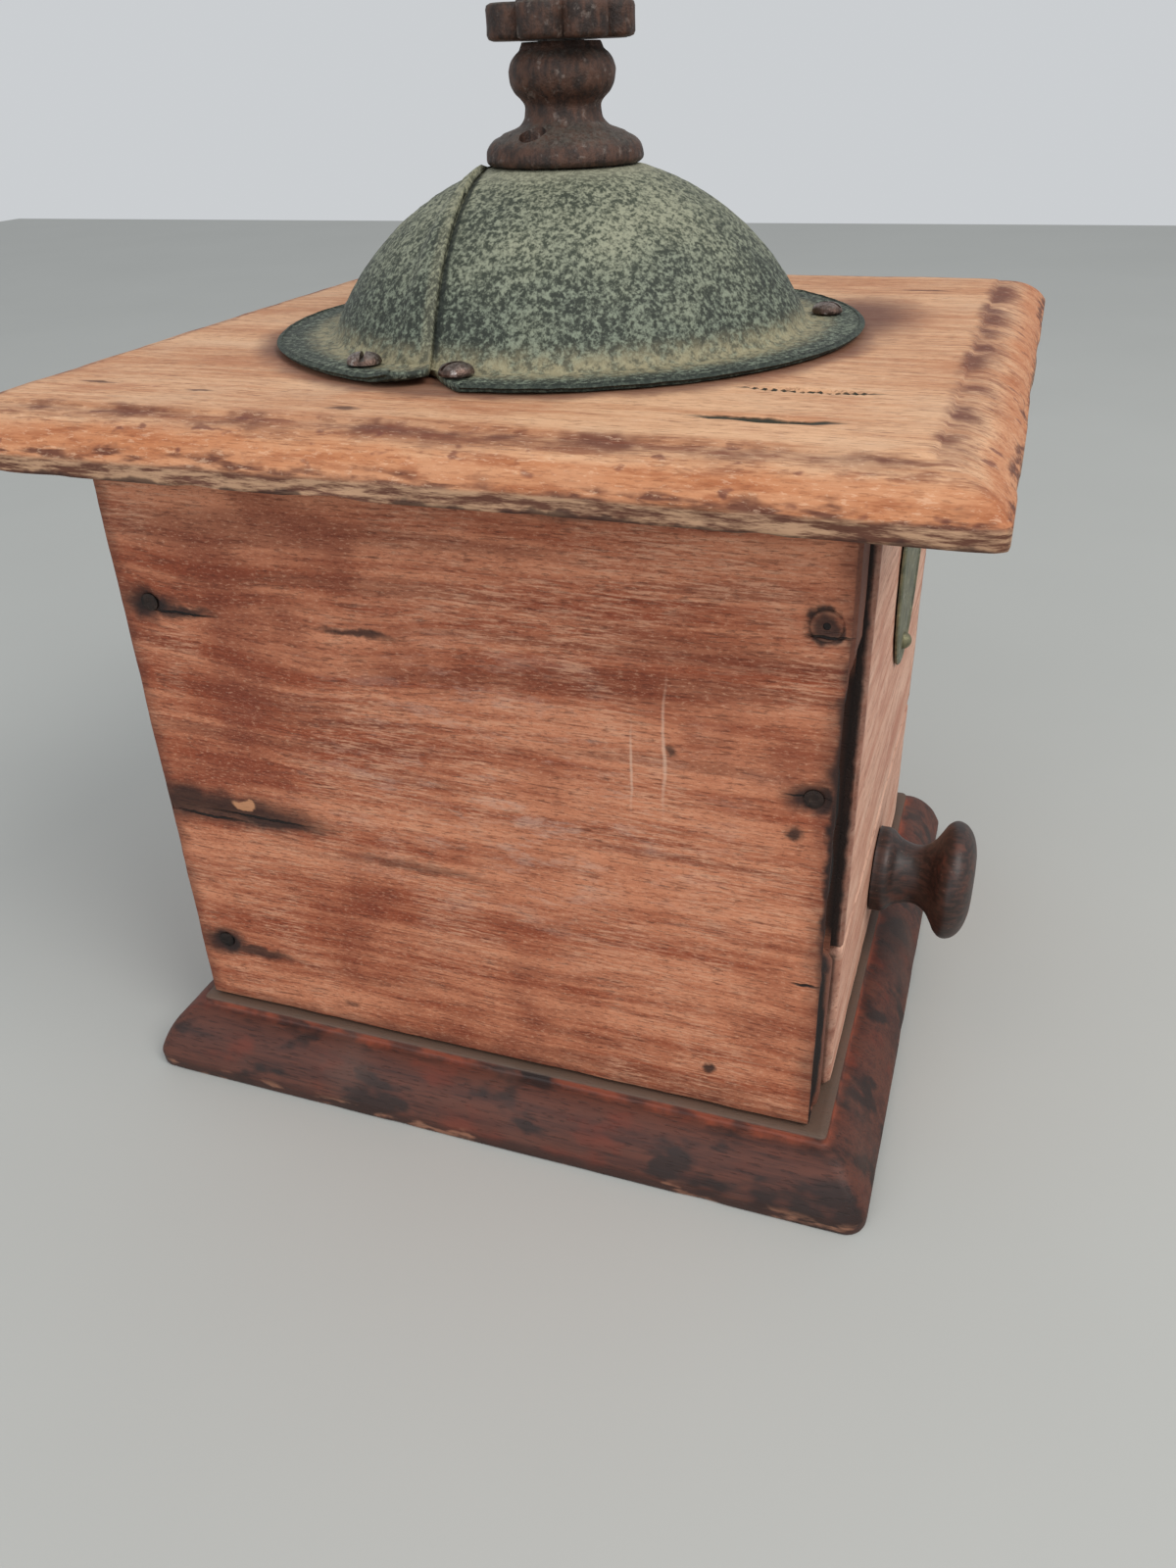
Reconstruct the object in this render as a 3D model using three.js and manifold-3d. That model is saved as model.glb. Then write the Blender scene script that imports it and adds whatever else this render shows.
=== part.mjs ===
// A hand crank coffee mill: a nailed wooden box with a drawer, a sheet-iron dome over the bean bowl,
// a turned bearing pillar, and a conical burr that the crank turns and the lobed nut adjusts.
// Millimetres, +Z up. The origin is the middle of the case on the underside of the base board.
// The drawer is at -Y, the sliding door of the dome and the crank at rest point to +X.
import * as THREE from "three";
import { mergeVertices } from "three/addons/utils/BufferGeometryUtils.js";
import Module from "manifold-3d";

const wasm = await Module();
wasm.setup();

// ---- Sizes: fits
const seatGap = 0.3; // between pieces that are fixed to each other
const drawerClearance = 0.6; // round the drawer
const doorClearance = 0.4; // on each face of the sliding door
const turnClearance = 0.35; // round and under what turns

// ---- Sizes: wooden case
const caseWidth = 125; // outside the side walls, X
const caseDepth = 130; // front to rear edge of the side walls, Y
const wallHeight = 119;
const wallThickness = 10;
const frontProud = 1.4; // how far the front stands out of the side walls
const baseThickness = 14;
const baseEdge = 3; // square edge below the moulding
const baseOverhang = 10.4;
const baseFrontOverhang = 12.2;
const baseBead = 1.6; // width of the raised strip along the walls
const baseBeadHeight = 1.6;
const topThickness = 8.7;
const topEdge = 3.1;
const topOverhang = 19;
const topBevel = 10.4;

// ---- Sizes: drawer
const drawerFrontHeight = 33.4;
const drawerFrontThickness = 9;
const drawerLength = 104; // face to rear
const drawerSideHeight = 28;
const drawerSideThickness = 6;
const drawerFloor = 3;
const dustBoardThickness = 4;
const knobBaseRadius = 9.6;
const knobWaistRadius = 6.5;
const knobHeadRadius = 13.4;
const knobLength = 21;
const knobScrewRadius = 1.9;

// ---- Sizes: dome and bean bowl
const sheet = 1; // iron sheet of the dome
const domeRadius = 44.1; // at the flange
const domeRise = 27.5; // board to the flat crown
const crownRadius = 13.2; // flat crown under the pillar
const flangeWidth = 10.2;
const doorSheet = 0.8;
const doorwayAngle = 48; // half angle of the opening in the dome
const doorLap = 4; // how much wider the door is on each side, degrees
const doorSwing = 84;
const pullRadius = 2.6;
const bowlWall = 2.4;
const bowlDepth = 33;
const bowlHoleRadius = 34.5; // in the top board

// ---- Sizes: burrs, spindle and what is on it
const spindleRadius = 4;
const spindleEndRadius = 2.8; // the thread under the cap nut
const burrRadius = 16.4; // widest part of the turning burr
const burrHeight = 21;
const burrGap = 0.8; // between the burrs at their tightest ring
const burrRingWall = 3.6;
const burrFlutes = 12;
const bridgeThickness = 4;
const bridgeWidth = 11;
const bridgeDrop = 13; // inside height of the bridge's legs
const pillarTop = 46.2;
const nutRadius = 13;
const nutThickness = 5.3;
const nutLobes = 8;
const nutBossRadius = 7.2;
const nutBossHeight = 2;
const liftRoom = 1.6; // between the lobed nut and the crank
const crankRadius = 108;
const crankHubRadius = 8.5;
const crankHubHeight = 7;
const crankThickness = 4.2;
const crankRise = 17;
const crankSquare = 6.6;
const knobPinRadius = 2.4;
const handleLength = 38;
const handleRadius = 14;

// ---- Sizes: nails and screws
const nailRadius = 0.9;
const nailHeadRadius = 1.7;
const nailLength = 26;
const screwRadius = 1.5;
const screwHeadRadius = 2.9;
const bridgeScrewRadius = 2;

// ---- Places that follow from the sizes
const baseTop = baseThickness;
const wallBottom = baseTop + seatGap;
const wallTop = wallBottom + wallHeight;
const boardBottom = wallTop + seatGap;
const boardTop = boardBottom + topThickness;
const halfWidth = caseWidth / 2;
const halfDepth = caseDepth / 2;
const frontFace = -halfDepth - frontProud;
const innerHalfWidth = halfWidth - wallThickness;
const drawerBottom = baseTop + drawerClearance;
const drawerHalfWidth = innerHalfWidth - drawerClearance;
const dustBoardBottom = drawerBottom + drawerFrontHeight + drawerClearance;
const frontInner = frontFace + wallThickness;
const rearInner = halfDepth - wallThickness;
const flangeRadius = domeRadius + flangeWidth;

// ---- Materials
const finish = (color, roughness, metalness = 0) =>
  new THREE.MeshStandardMaterial({ color, roughness, metalness });
const stainedWood = finish(0xa55f46, 0.7);
const paleWood = finish(0xbe8c69, 0.7);
const darkWood = finish(0x5f3c32, 0.6);
const greenPaint = finish(0x4a5a50, 0.8, 0.2);
const brownedIron = finish(0x4b3a32, 0.6, 0.7);
const castIron = finish(0x3c3c3e, 0.6, 0.8);
const steel = finish(0x77726c, 0.4, 1);
const platedBrass = finish(0x8c8a70, 0.5, 0.9);

// ---- Making solids
function solid(geometry) {
  const bare = new THREE.BufferGeometry();
  bare.setAttribute("position", geometry.getAttribute("position"));
  if (geometry.index) bare.setIndex(geometry.index);
  const merged = mergeVertices(bare, 1e-4);
  const corners = merged.index.array;
  const kept = [];
  for (let i = 0; i < corners.length; i += 3) {
    const [a, b, c] = corners.slice(i, i + 3);
    if (a !== b && b !== c && c !== a) kept.push(a, b, c);
  }
  return new wasm.Manifold(
    new wasm.Mesh({
      numProp: 3,
      vertProperties: new Float32Array(merged.attributes.position.array),
      triVerts: new Uint32Array(kept),
    }),
  );
}

function geometryOf(body) {
  const mesh = body.getMesh();
  const geometry = new THREE.BufferGeometry();
  geometry.setAttribute("position", new THREE.BufferAttribute(mesh.vertProperties, 3));
  geometry.setIndex(new THREE.BufferAttribute(mesh.triVerts, 1));
  geometry.computeVertexNormals();
  return geometry;
}

// Points of a round stretch, [radius, height], from one angle in degrees to another.
function arc(radius, height, size, from, to, steps) {
  const points = [];
  for (let i = 0; i <= steps; i += 1) {
    const angle = THREE.MathUtils.degToRad(from + ((to - from) * i) / steps);
    points.push([radius + size * Math.cos(angle), height + size * Math.sin(angle)]);
  }
  return points;
}

// A solid turned about Z from a closed outline of [radius, height] points.
function turned(outline, segments = 32) {
  const points = outline.map(([r, h]) => new THREE.Vector2(r, h));
  if (THREE.ShapeUtils.area(points) < 0) points.reverse();
  points.push(points[0].clone());
  return solid(new THREE.LatheGeometry(points, segments).rotateX(Math.PI / 2));
}

function block(x0, x1, y0, y1, z0, z1) {
  const box = new THREE.BoxGeometry(x1 - x0, y1 - y0, z1 - z0);
  return solid(box.translate((x0 + x1) / 2, (y0 + y1) / 2, (z0 + z1) / 2));
}

function rod(radius, z0, z1, segments = 16) {
  return turned([[0, z0], [radius, z0], [radius, z1], [0, z1]], segments);
}

// A flat outline raised from z0 to z1.
function plate(outline, z0, z1) {
  const shape = new THREE.Shape(outline.map(([x, y]) => new THREE.Vector2(x, y)));
  const slab = new THREE.ExtrudeGeometry(shape, { depth: z1 - z0, bevelEnabled: false });
  return solid(slab.translate(0, 0, z0));
}

// A wedge about Z between two angles in degrees, wide enough to cut any piece here.
function wedge(from, to, z0, z1) {
  const reach = 2 * flangeRadius;
  return plate([[0, 0], ...arc(0, 0, reach, from, to, 8)], z0, z1);
}

// Joins rings of points, each with the same number of points, into one closed skin.
function skin(rings) {
  const count = rings[0].length;
  const positions = rings.flat(2);
  const index = [];
  const ends = [rings[0], rings[rings.length - 1]];
  const middles = ends.map((ring) => [0, 1, 2].map((k) => ring.reduce((sum, p) => sum + p[k] / count, 0)));
  const first = positions.length / 3;
  positions.push(...middles.flat());
  for (let i = 0; i < count; i += 1) {
    const next = (i + 1) % count;
    const last = (rings.length - 1) * count;
    index.push(first, next, i);
    index.push(first + 1, last + i, last + next);
    for (let row = 0; row < rings.length - 1; row += 1) {
      const low = row * count;
      const high = low + count;
      index.push(low + i, low + next, high + i);
      index.push(low + next, high + next, high + i);
    }
  }
  const geometry = new THREE.BufferGeometry();
  geometry.setAttribute("position", new THREE.Float32BufferAttribute(positions, 3));
  geometry.setIndex(index);
  const made = solid(geometry);
  if (made.volume() > 0) return made;
  geometry.setIndex(index.reverse()); // the rings run the other way round
  return solid(geometry);
}

// A board whose edge follows a moulding: [share of the way from outer to inner rectangle, height].
function mouldedBoard(outer, inner, moulding) {
  const corner = (side, share) => outer[side] + (inner[side] - outer[side]) * share;
  return skin(
    moulding.map(([share, z]) => {
      const [x0, x1, y0, y1] = [0, 1, 2, 3].map((side) => corner(side, share));
      return [[x0, y0, z], [x1, y0, z], [x1, y1, z], [x0, y1, z]];
    }),
  );
}

function rotated(body, x, y, z) {
  return body.rotate([x, y, z]);
}

// A nail along Z with its flat head at z = 0, pointing down. Grown, it is the hole for itself.
function nail(length = nailLength, grow = 0) {
  const head = nailHeadRadius + grow;
  const shank = nailRadius + grow;
  return turned(
    [[0, -length - grow], [shank, 3 - length], [shank, -1], [head, -1 - grow],
      [head, 0.5 * grow], [0, 0.5 * grow]],
    8,
  );
}

// A round-head screw along Z, its head on z = 0, with a slot.
function roundScrew(radius, head, length, segments = 12) {
  const outline = [[0, -length], [radius, 2 - length], [radius, 0], [head, 0], [head, 0.3]];
  outline.push([head * 0.8, head * 0.5], [0, head * 0.62]);
  const slot = block(-head, head, -0.35, 0.35, head * 0.3, head);
  return turned(outline, segments).subtract(slot);
}

const mill = new THREE.Group();
mill.name = "coffee_mill";

function group(x, y, z, parent = mill) {
  const made = new THREE.Group();
  made.position.set(x, y, z);
  parent.add(made);
  return made;
}

function add(parent, name, body, material) {
  const mesh = new THREE.Mesh(geometryOf(body), material);
  mesh.name = name;
  parent.add(mesh);
  return mesh;
}

// ---- Wooden case
const box = group(0, 0, 0);

const wallFoot = [-halfWidth, halfWidth, frontFace, halfDepth];
const spread = (side, front) => [-halfWidth - side, halfWidth + side, frontFace - front, halfDepth + side];

function baseMoulding() {
  const beadStart = 1 - baseBead / baseOverhang;
  const slopeTop = baseThickness - baseBeadHeight;
  const slope = new THREE.QuadraticBezierCurve(
    new THREE.Vector2(0, baseEdge),
    new THREE.Vector2(0.3, slopeTop - 1),
    new THREE.Vector2(beadStart, slopeTop),
  );
  const points = slope.getPoints(5).map((p) => [p.x, p.y]);
  return [[0, 0], ...points, [beadStart + 0.02, baseThickness], [1, baseThickness]];
}
const baseBoard = mouldedBoard(
  spread(baseOverhang, baseFrontOverhang - frontProud),
  wallFoot,
  baseMoulding(),
);
add(box, "base_board", baseBoard, darkWood);

// Nails go through the side walls into the edges of the front and rear panels.
const nailHeights = [0.13, 0.5, 0.84].map((share) => wallBottom + share * wallHeight);
const frontNailInset = 5.6;
const rearNailInset = 6.4;
const nailPlaces = [
  { name: "rear_low", y: halfDepth - rearNailInset, z: nailHeights[0] },
  { name: "rear_high", y: halfDepth - rearNailInset, z: nailHeights[2] - 9 },
  { name: "front_middle", y: frontFace + frontNailInset, z: nailHeights[1] + 11 },
  { name: "front_high", y: frontFace + frontNailInset, z: nailHeights[2] },
];
const sides = [
  { name: "left", sign: -1 },
  { name: "right", sign: 1 },
];
function nailAt(side, place, grow = 0) {
  const upright = nail(nailLength, grow);
  return rotated(upright, 0, 90 * side.sign, 0).translate([side.sign * (halfWidth - 0.2), place.y, place.z]);
}
function withNailHoles(body, chosen) {
  let cut = body;
  for (const side of chosen) {
    for (const place of nailPlaces) cut = cut.subtract(nailAt(side, place, seatGap));
  }
  return cut;
}

for (const side of sides) {
  const outer = side.sign * halfWidth;
  const inner = side.sign * innerHalfWidth;
  const [low, high] = [Math.min(outer, inner), Math.max(outer, inner)];
  const wall = block(low, high, -halfDepth, halfDepth, wallBottom, wallTop);
  add(box, `${side.name}_side_panel`, withNailHoles(wall, [side]), stainedWood);
}
const panelHalfWidth = innerHalfWidth - seatGap;
const rearPanel = block(-panelHalfWidth, panelHalfWidth, rearInner, halfDepth, wallBottom, wallTop);
add(box, "rear_panel", withNailHoles(rearPanel, sides), stainedWood);
const frontPanel = block(-panelHalfWidth, panelHalfWidth, frontFace, frontInner, dustBoardBottom, wallTop);
add(box, "front_panel", withNailHoles(frontPanel, sides), paleWood);
for (const side of sides) {
  for (const place of nailPlaces) {
    add(box, `wall_nail_${side.name}_${place.name}`, nailAt(side, place), steel);
  }
}

// The dust board over the drawer lets the grounds fall through its round hole.
const dustHoleRadius = 30;
const dustBoard = block(
  -panelHalfWidth,
  panelHalfWidth,
  frontInner + seatGap,
  rearInner - seatGap,
  dustBoardBottom,
  dustBoardBottom + dustBoardThickness,
).subtract(rod(dustHoleRadius, dustBoardBottom - 1, dustBoardBottom + dustBoardThickness + 1, 24));
add(box, "dust_board", dustBoard, paleWood);

function topMoulding() {
  const slope = new THREE.QuadraticBezierCurve(
    new THREE.Vector2(0, topEdge),
    new THREE.Vector2(0.3, topThickness * 0.86),
    new THREE.Vector2(1, topThickness),
  );
  const points = slope.getPoints(5).map((p) => [p.x, boardBottom + p.y]);
  return [[0, boardBottom], ...points];
}
const topOuter = [
  -halfWidth - topOverhang,
  halfWidth + topOverhang,
  -halfDepth - topOverhang,
  halfDepth + topOverhang,
];
const topInner = topOuter.map((at) => at - Math.sign(at) * topBevel);

// ---- Screws round the flange of the dome, and those that hold the bowl
const flangeScrewCircle = (domeRadius + flangeRadius) / 2 - 1.2;
const flangeScrewAngles = [155, 178, -72, 12, 84];
const flangeScrewLength = topThickness - 1;
const bowlScrewCircle = bowlHoleRadius + 2;
const bowlScrewAngles = [30, 150, 270];
const bowlScrewRadius = 0.9;
const bowlScrewHead = 1.5;
const bowlScrewLength = 6;
const onCircle = (radius, degrees) => {
  const angle = THREE.MathUtils.degToRad(degrees);
  return [radius * Math.cos(angle), radius * Math.sin(angle)];
};

let topBoard = mouldedBoard(topOuter, topInner, topMoulding());
topBoard = topBoard.subtract(rod(bowlHoleRadius, boardBottom - 1, boardTop + 1, 40));
for (const angle of flangeScrewAngles) {
  const hole = rod(screwRadius + seatGap, boardTop - flangeScrewLength, boardTop + 1, 8);
  topBoard = topBoard.subtract(hole.translate([...onCircle(flangeScrewCircle, angle), 0]));
}
for (const angle of bowlScrewAngles) {
  const hole = rod(bowlScrewRadius + seatGap, boardTop - bowlScrewLength, boardTop + 1, 8);
  topBoard = topBoard.subtract(hole.translate([...onCircle(bowlScrewCircle, angle), 0]));
}
add(box, "top_board", topBoard, paleWood);

// ---- Blank oval plate on the front, held by two pins
const plateWidth = 36;
const plateHeight = 48;
const plateThickness = 0.8;
const plateDrop = 3.5; // from the top board down to the plate
const platePinInset = 4;
const frontPlate = group(0, frontFace - seatGap, boardBottom - plateDrop - plateHeight / 2);
frontPlate.rotation.x = Math.PI / 2;
const ellipse = new THREE.EllipseCurve(0, 0, plateWidth / 2, plateHeight / 2).getPoints(36).slice(0, -1);
let plateBody = plate(ellipse.map((p) => [p.x, p.y]), 0, plateThickness);
const platePinHeights = [1, -1].map((up) => up * (plateHeight / 2 - platePinInset));
for (const height of platePinHeights) {
  const hole = rod(nailRadius + seatGap, -1, plateThickness + 1, 8);
  plateBody = plateBody.subtract(hole.translate([0, height, 0]));
}
add(frontPlate, "front_plate", plateBody, platedBrass);
platePinHeights.forEach((height, i) => {
  const pin = turned(
    [[0, seatGap - 0.2], [nailRadius, seatGap - 0.2], [nailRadius, plateThickness + seatGap],
      [1.8, plateThickness + seatGap], [1.2, plateThickness + 1.1], [0, plateThickness + 1.3]],
    10,
  );
  add(frontPlate, `plate_pin_${i + 1}`, pin.translate([0, height, 0]), steel);
});

// ---- Drawer, in a frame at the bottom middle of its face
const drawer = group(0, frontFace, drawerBottom);
const knobHeight = drawerFrontHeight / 2 + 0.6;
const screwHoleRadius = knobScrewRadius + seatGap;
const towardsFront = (body) => rotated(body, 90, 0, 0).translate([0, 0, knobHeight]);
const drawerFront = block(-drawerHalfWidth, drawerHalfWidth, 0, drawerFrontThickness, 0, drawerFrontHeight);
const knobHole = towardsFront(rod(screwHoleRadius, -drawerFrontThickness - 1, 1, 12));
add(drawer, "drawer_front", drawerFront.subtract(knobHole), paleWood);

const boxStart = drawerFrontThickness + seatGap;
const sideLift = 0.4;
for (const side of sides) {
  const outer = side.sign * drawerHalfWidth;
  const inner = side.sign * (drawerHalfWidth - drawerSideThickness);
  const [low, high] = [Math.min(outer, inner), Math.max(outer, inner)];
  const wall = block(low, high, boxStart, drawerLength, sideLift, drawerSideHeight);
  add(drawer, `drawer_${side.name}`, wall, paleWood);
}
const trayHalfWidth = drawerHalfWidth - drawerSideThickness - seatGap;
const trayEnd = drawerLength - drawerSideThickness;
add(
  drawer,
  "drawer_back",
  block(-trayHalfWidth, trayHalfWidth, trayEnd, drawerLength, sideLift, drawerSideHeight),
  paleWood,
);
add(
  drawer,
  "drawer_bottom",
  block(-trayHalfWidth, trayHalfWidth, boxStart, trayEnd - seatGap, 1, 1 + drawerFloor),
  paleWood,
);

// Drawer knob: a foot, a hollow waist and a mushroom head, turned about its own axis.
function knobOutline() {
  const foot = 3;
  const headRim = knobLength - 5.5;
  const waist = new THREE.CatmullRomCurve3([
    new THREE.Vector3(knobBaseRadius, foot, 0),
    new THREE.Vector3(knobWaistRadius + 0.7, foot + 2.6, 0),
    new THREE.Vector3(knobWaistRadius, knobLength * 0.42, 0),
    new THREE.Vector3(knobWaistRadius + 2, knobLength * 0.56, 0),
    new THREE.Vector3(knobHeadRadius, headRim, 0),
  ]);
  const neck = waist.getPoints(6).map((p) => [p.x, p.y]);
  const brow = headRim + 1;
  const crown = arc(0, 0, 1, 0, 90, 4).map(([c, s]) => [knobHeadRadius * c, brow + (knobLength - brow) * s]);
  return [[0, seatGap], [knobBaseRadius, seatGap], ...neck, ...crown];
}
const knobScrewReach = 12;
const drawerKnob = turned(knobOutline(), 24).subtract(rod(screwHoleRadius, -1, knobScrewReach + 1, 12));
add(drawer, "drawer_knob", towardsFront(drawerKnob), darkWood);
const knobScrewHead = -drawerFrontThickness - seatGap;
const knobScrew = turned(
  [[0, knobScrewReach], [knobScrewRadius, knobScrewReach - 2], [knobScrewRadius, knobScrewHead],
    [screwHeadRadius + 0.8, knobScrewHead], [screwHeadRadius, knobScrewHead - 1.6], [0, knobScrewHead - 2]],
  12,
);
add(drawer, "drawer_knob_screw", towardsFront(knobScrew), steel);

// ---- Dome, in a frame on the top of the board
const hopper = group(0, 0, boardTop);
const flangeTop = seatGap + sheet;

// The dome is a part of a ball that goes through the flange corner and the rim of the flat crown.
const crownDrop = domeRise - flangeTop;
const ballCentre = flangeTop + (crownDrop ** 2 + crownRadius ** 2 - domeRadius ** 2) / (2 * crownDrop);
const ballRadius = Math.hypot(domeRadius, flangeTop - ballCentre);
const ballAt = (radius, height) => Math.sqrt(radius ** 2 - (height - ballCentre) ** 2);
const degreesAt = (radius, height) => THREE.MathUtils.radToDeg(Math.asin((height - ballCentre) / radius));
const heightAt = (radius, out) => ballCentre + Math.sqrt(radius ** 2 - out ** 2);

const domeInner = ballRadius - sheet;
const doorOuter = domeInner - doorClearance;
const doorInner = doorOuter - doorSheet;
const guideRadius = doorInner - doorClearance;
const crownHoleRadius = spindleRadius + 0.6;
const domeSteps = 8;
const domeSegments = 48;

function ballArc(radius, low, high, steps = domeSteps) {
  return arc(0, ballCentre, radius, degreesAt(radius, low), degreesAt(radius, high), steps);
}
const crownUnder = domeRise - sheet;
const domeOutline = [
  [flangeRadius, seatGap],
  [flangeRadius, flangeTop],
  ...ballArc(ballRadius, flangeTop, domeRise),
  [crownHoleRadius, domeRise],
  [crownHoleRadius, crownUnder],
  ...ballArc(domeInner, seatGap, crownUnder).reverse(),
];
const doorwayLow = flangeTop + 4;
const doorwayHigh = heightAt(ballRadius, crownRadius + 6.5);
const doorwayBand = [
  ...ballArc(ballRadius + 3, doorwayLow, doorwayHigh, 6),
  ...ballArc(domeInner - 1, doorwayLow, doorwayHigh, 6).reverse(),
];
const sector = (half) => wedge(-half, half, -5, domeRise + 10);
const doorway = turned(doorwayBand, domeSegments).intersect(sector(doorwayAngle));
let dome = turned(domeOutline, domeSegments).subtract(doorway);

// Two screws through the pillar's foot and the crown of the dome into the plate under it.
const pillarScrewCircle = 10;
const pillarScrewAngles = [168, -12];
const pillarScrewRadius = 1.1;
const pillarScrewHead = 2;
for (const angle of pillarScrewAngles) {
  const hole = rod(pillarScrewRadius + seatGap, crownUnder - 1, domeRise + 1, 8);
  dome = dome.subtract(hole.translate([...onCircle(pillarScrewCircle, angle), 0]));
}
for (const angle of flangeScrewAngles) {
  const hole = rod(screwRadius + seatGap, -1, flangeTop + 1, 8);
  dome = dome.subtract(hole.translate([...onCircle(flangeScrewCircle, angle), 0]));
}
add(hopper, "dome_shell", dome, greenPaint);
flangeScrewAngles.forEach((angle, i) => {
  const length = flangeScrewLength + flangeTop - 1;
  const screw = rotated(roundScrew(screwRadius, screwHeadRadius, length, 10), 0, 0, angle + 40 * i);
  const place = [...onCircle(flangeScrewCircle, angle), flangeTop + seatGap];
  add(hopper, `dome_screw_${i + 1}`, screw.translate(place), steel);
});

// The door slides round inside the dome, between it, the rim of the crown plate and the bowl's lip.
const doorBottom = flangeTop + bowlWall * 0.5 + seatGap;
const doorTopDegrees = degreesAt(doorOuter, heightAt(doorOuter, crownRadius + 1));
const doorFace = (radius) => arc(0, ballCentre, radius, degreesAt(radius, doorBottom), doorTopDegrees, 7);
const doorBand = [...doorFace(doorOuter), ...doorFace(doorInner).reverse()];
const doorHalf = doorwayAngle + doorLap;
const doorPanel = turned(doorBand, domeSegments).intersect(sector(doorHalf));
const pullAngle = doorwayAngle - 6;
const pullHeight = doorwayLow + pullRadius + 1.6;
const pullTilt = degreesAt(ballRadius, pullHeight);
const pullPlace = (body) =>
  rotated(rotated(body, 0, 90 - pullTilt, 0), 0, 0, pullAngle).translate([0, 0, ballCentre]);
const door = group(0, 0, 0, hopper);
const pullHole = pullPlace(rod(pullRadius * 0.5 + seatGap, doorInner - 3, doorOuter + 3, 10));
add(door, "dome_door", doorPanel.subtract(pullHole), greenPaint);
const pullFoot = doorOuter + seatGap;
const doorPull = turned(
  [[0, doorInner - seatGap + 0.1], [pullRadius * 0.5, doorInner - seatGap + 0.1], [pullRadius * 0.5, pullFoot],
    [pullRadius, pullFoot], [pullRadius * 0.7, pullFoot + 2.2], [pullRadius, pullFoot + 4],
    [pullRadius * 0.8, pullFoot + 5.6], [0, pullFoot + 6.2]],
  14,
);
add(door, "door_pull", pullPlace(doorPull), platedBrass);

// Crown plate inside the dome: the pillar is screwed to it, and its rim keeps the door in.
const crownPlateTop = crownUnder - seatGap;
const crownPlateRim = crownRadius + 5;
const crownPlateLow = heightAt(guideRadius, crownPlateRim) - 1.4;
const plateShoulder = crownRadius - 1.6;
let crownPlate = turned(
  [[crownHoleRadius, crownPlateLow], [crownPlateRim, crownPlateLow],
    ...ballArc(guideRadius, heightAt(guideRadius, crownPlateRim), heightAt(guideRadius, plateShoulder), 4),
    [plateShoulder, crownPlateTop], [crownHoleRadius, crownPlateTop]],
  24,
);
for (const angle of pillarScrewAngles) {
  const hole = rod(pillarScrewRadius + seatGap, crownPlateLow + 1, crownPlateTop + 1, 8);
  crownPlate = crownPlate.subtract(hole.translate([...onCircle(pillarScrewCircle, angle), 0]));
}
add(hopper, "crown_plate", crownPlate, castIron);

// ---- Bearing pillar: foot, neck and bulb, bored for the spindle
const pillarBore = spindleRadius + turnClearance;
const pillarFoot = domeRise + seatGap;
const footRadius = 13.9;
const footCrown = 10.6;
const neckRadius = 6.7;
const bulbRadius = 9.2;
const pillarOutline = [
  [pillarBore, pillarFoot],
  [footRadius - 0.5, pillarFoot],
  [footRadius, pillarFoot + 1.3],
  [footRadius - 0.4, pillarFoot + 2.6],
  [footCrown + 1, pillarFoot + 4.3],
  [footCrown, pillarFoot + 4.9],
  [neckRadius + 1.6, pillarFoot + 5.5],
  [neckRadius + 0.2, pillarFoot + 6.5],
  [neckRadius, pillarFoot + 8.6],
  [neckRadius + 0.5, pillarFoot + 9.9],
  ...arc(bulbRadius - 4.4, pillarFoot + 13.6, 4.4, -48, 60, 6),
  [neckRadius, pillarTop],
  [pillarBore, pillarTop],
];
let pillar = turned(pillarOutline, 24);
const screwSeat = pillarFoot + 1.6;
for (const angle of pillarScrewAngles) {
  const counterbore = rod(pillarScrewHead + seatGap, screwSeat, pillarFoot + 8, 12);
  const hole = rod(pillarScrewRadius + seatGap, pillarFoot - 1, pillarFoot + 8, 8);
  pillar = pillar.subtract(counterbore.add(hole).translate([...onCircle(pillarScrewCircle, angle), 0]));
}
add(hopper, "bearing_pillar", pillar, brownedIron);
pillarScrewAngles.forEach((angle, i) => {
  const length = screwSeat + seatGap - crownPlateLow - 1 - seatGap;
  const screw = roundScrew(pillarScrewRadius, pillarScrewHead, length, 10);
  const place = [...onCircle(pillarScrewCircle, angle), screwSeat + seatGap];
  add(hopper, `pillar_screw_${i + 1}`, screw.translate(place), steel);
});

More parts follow.
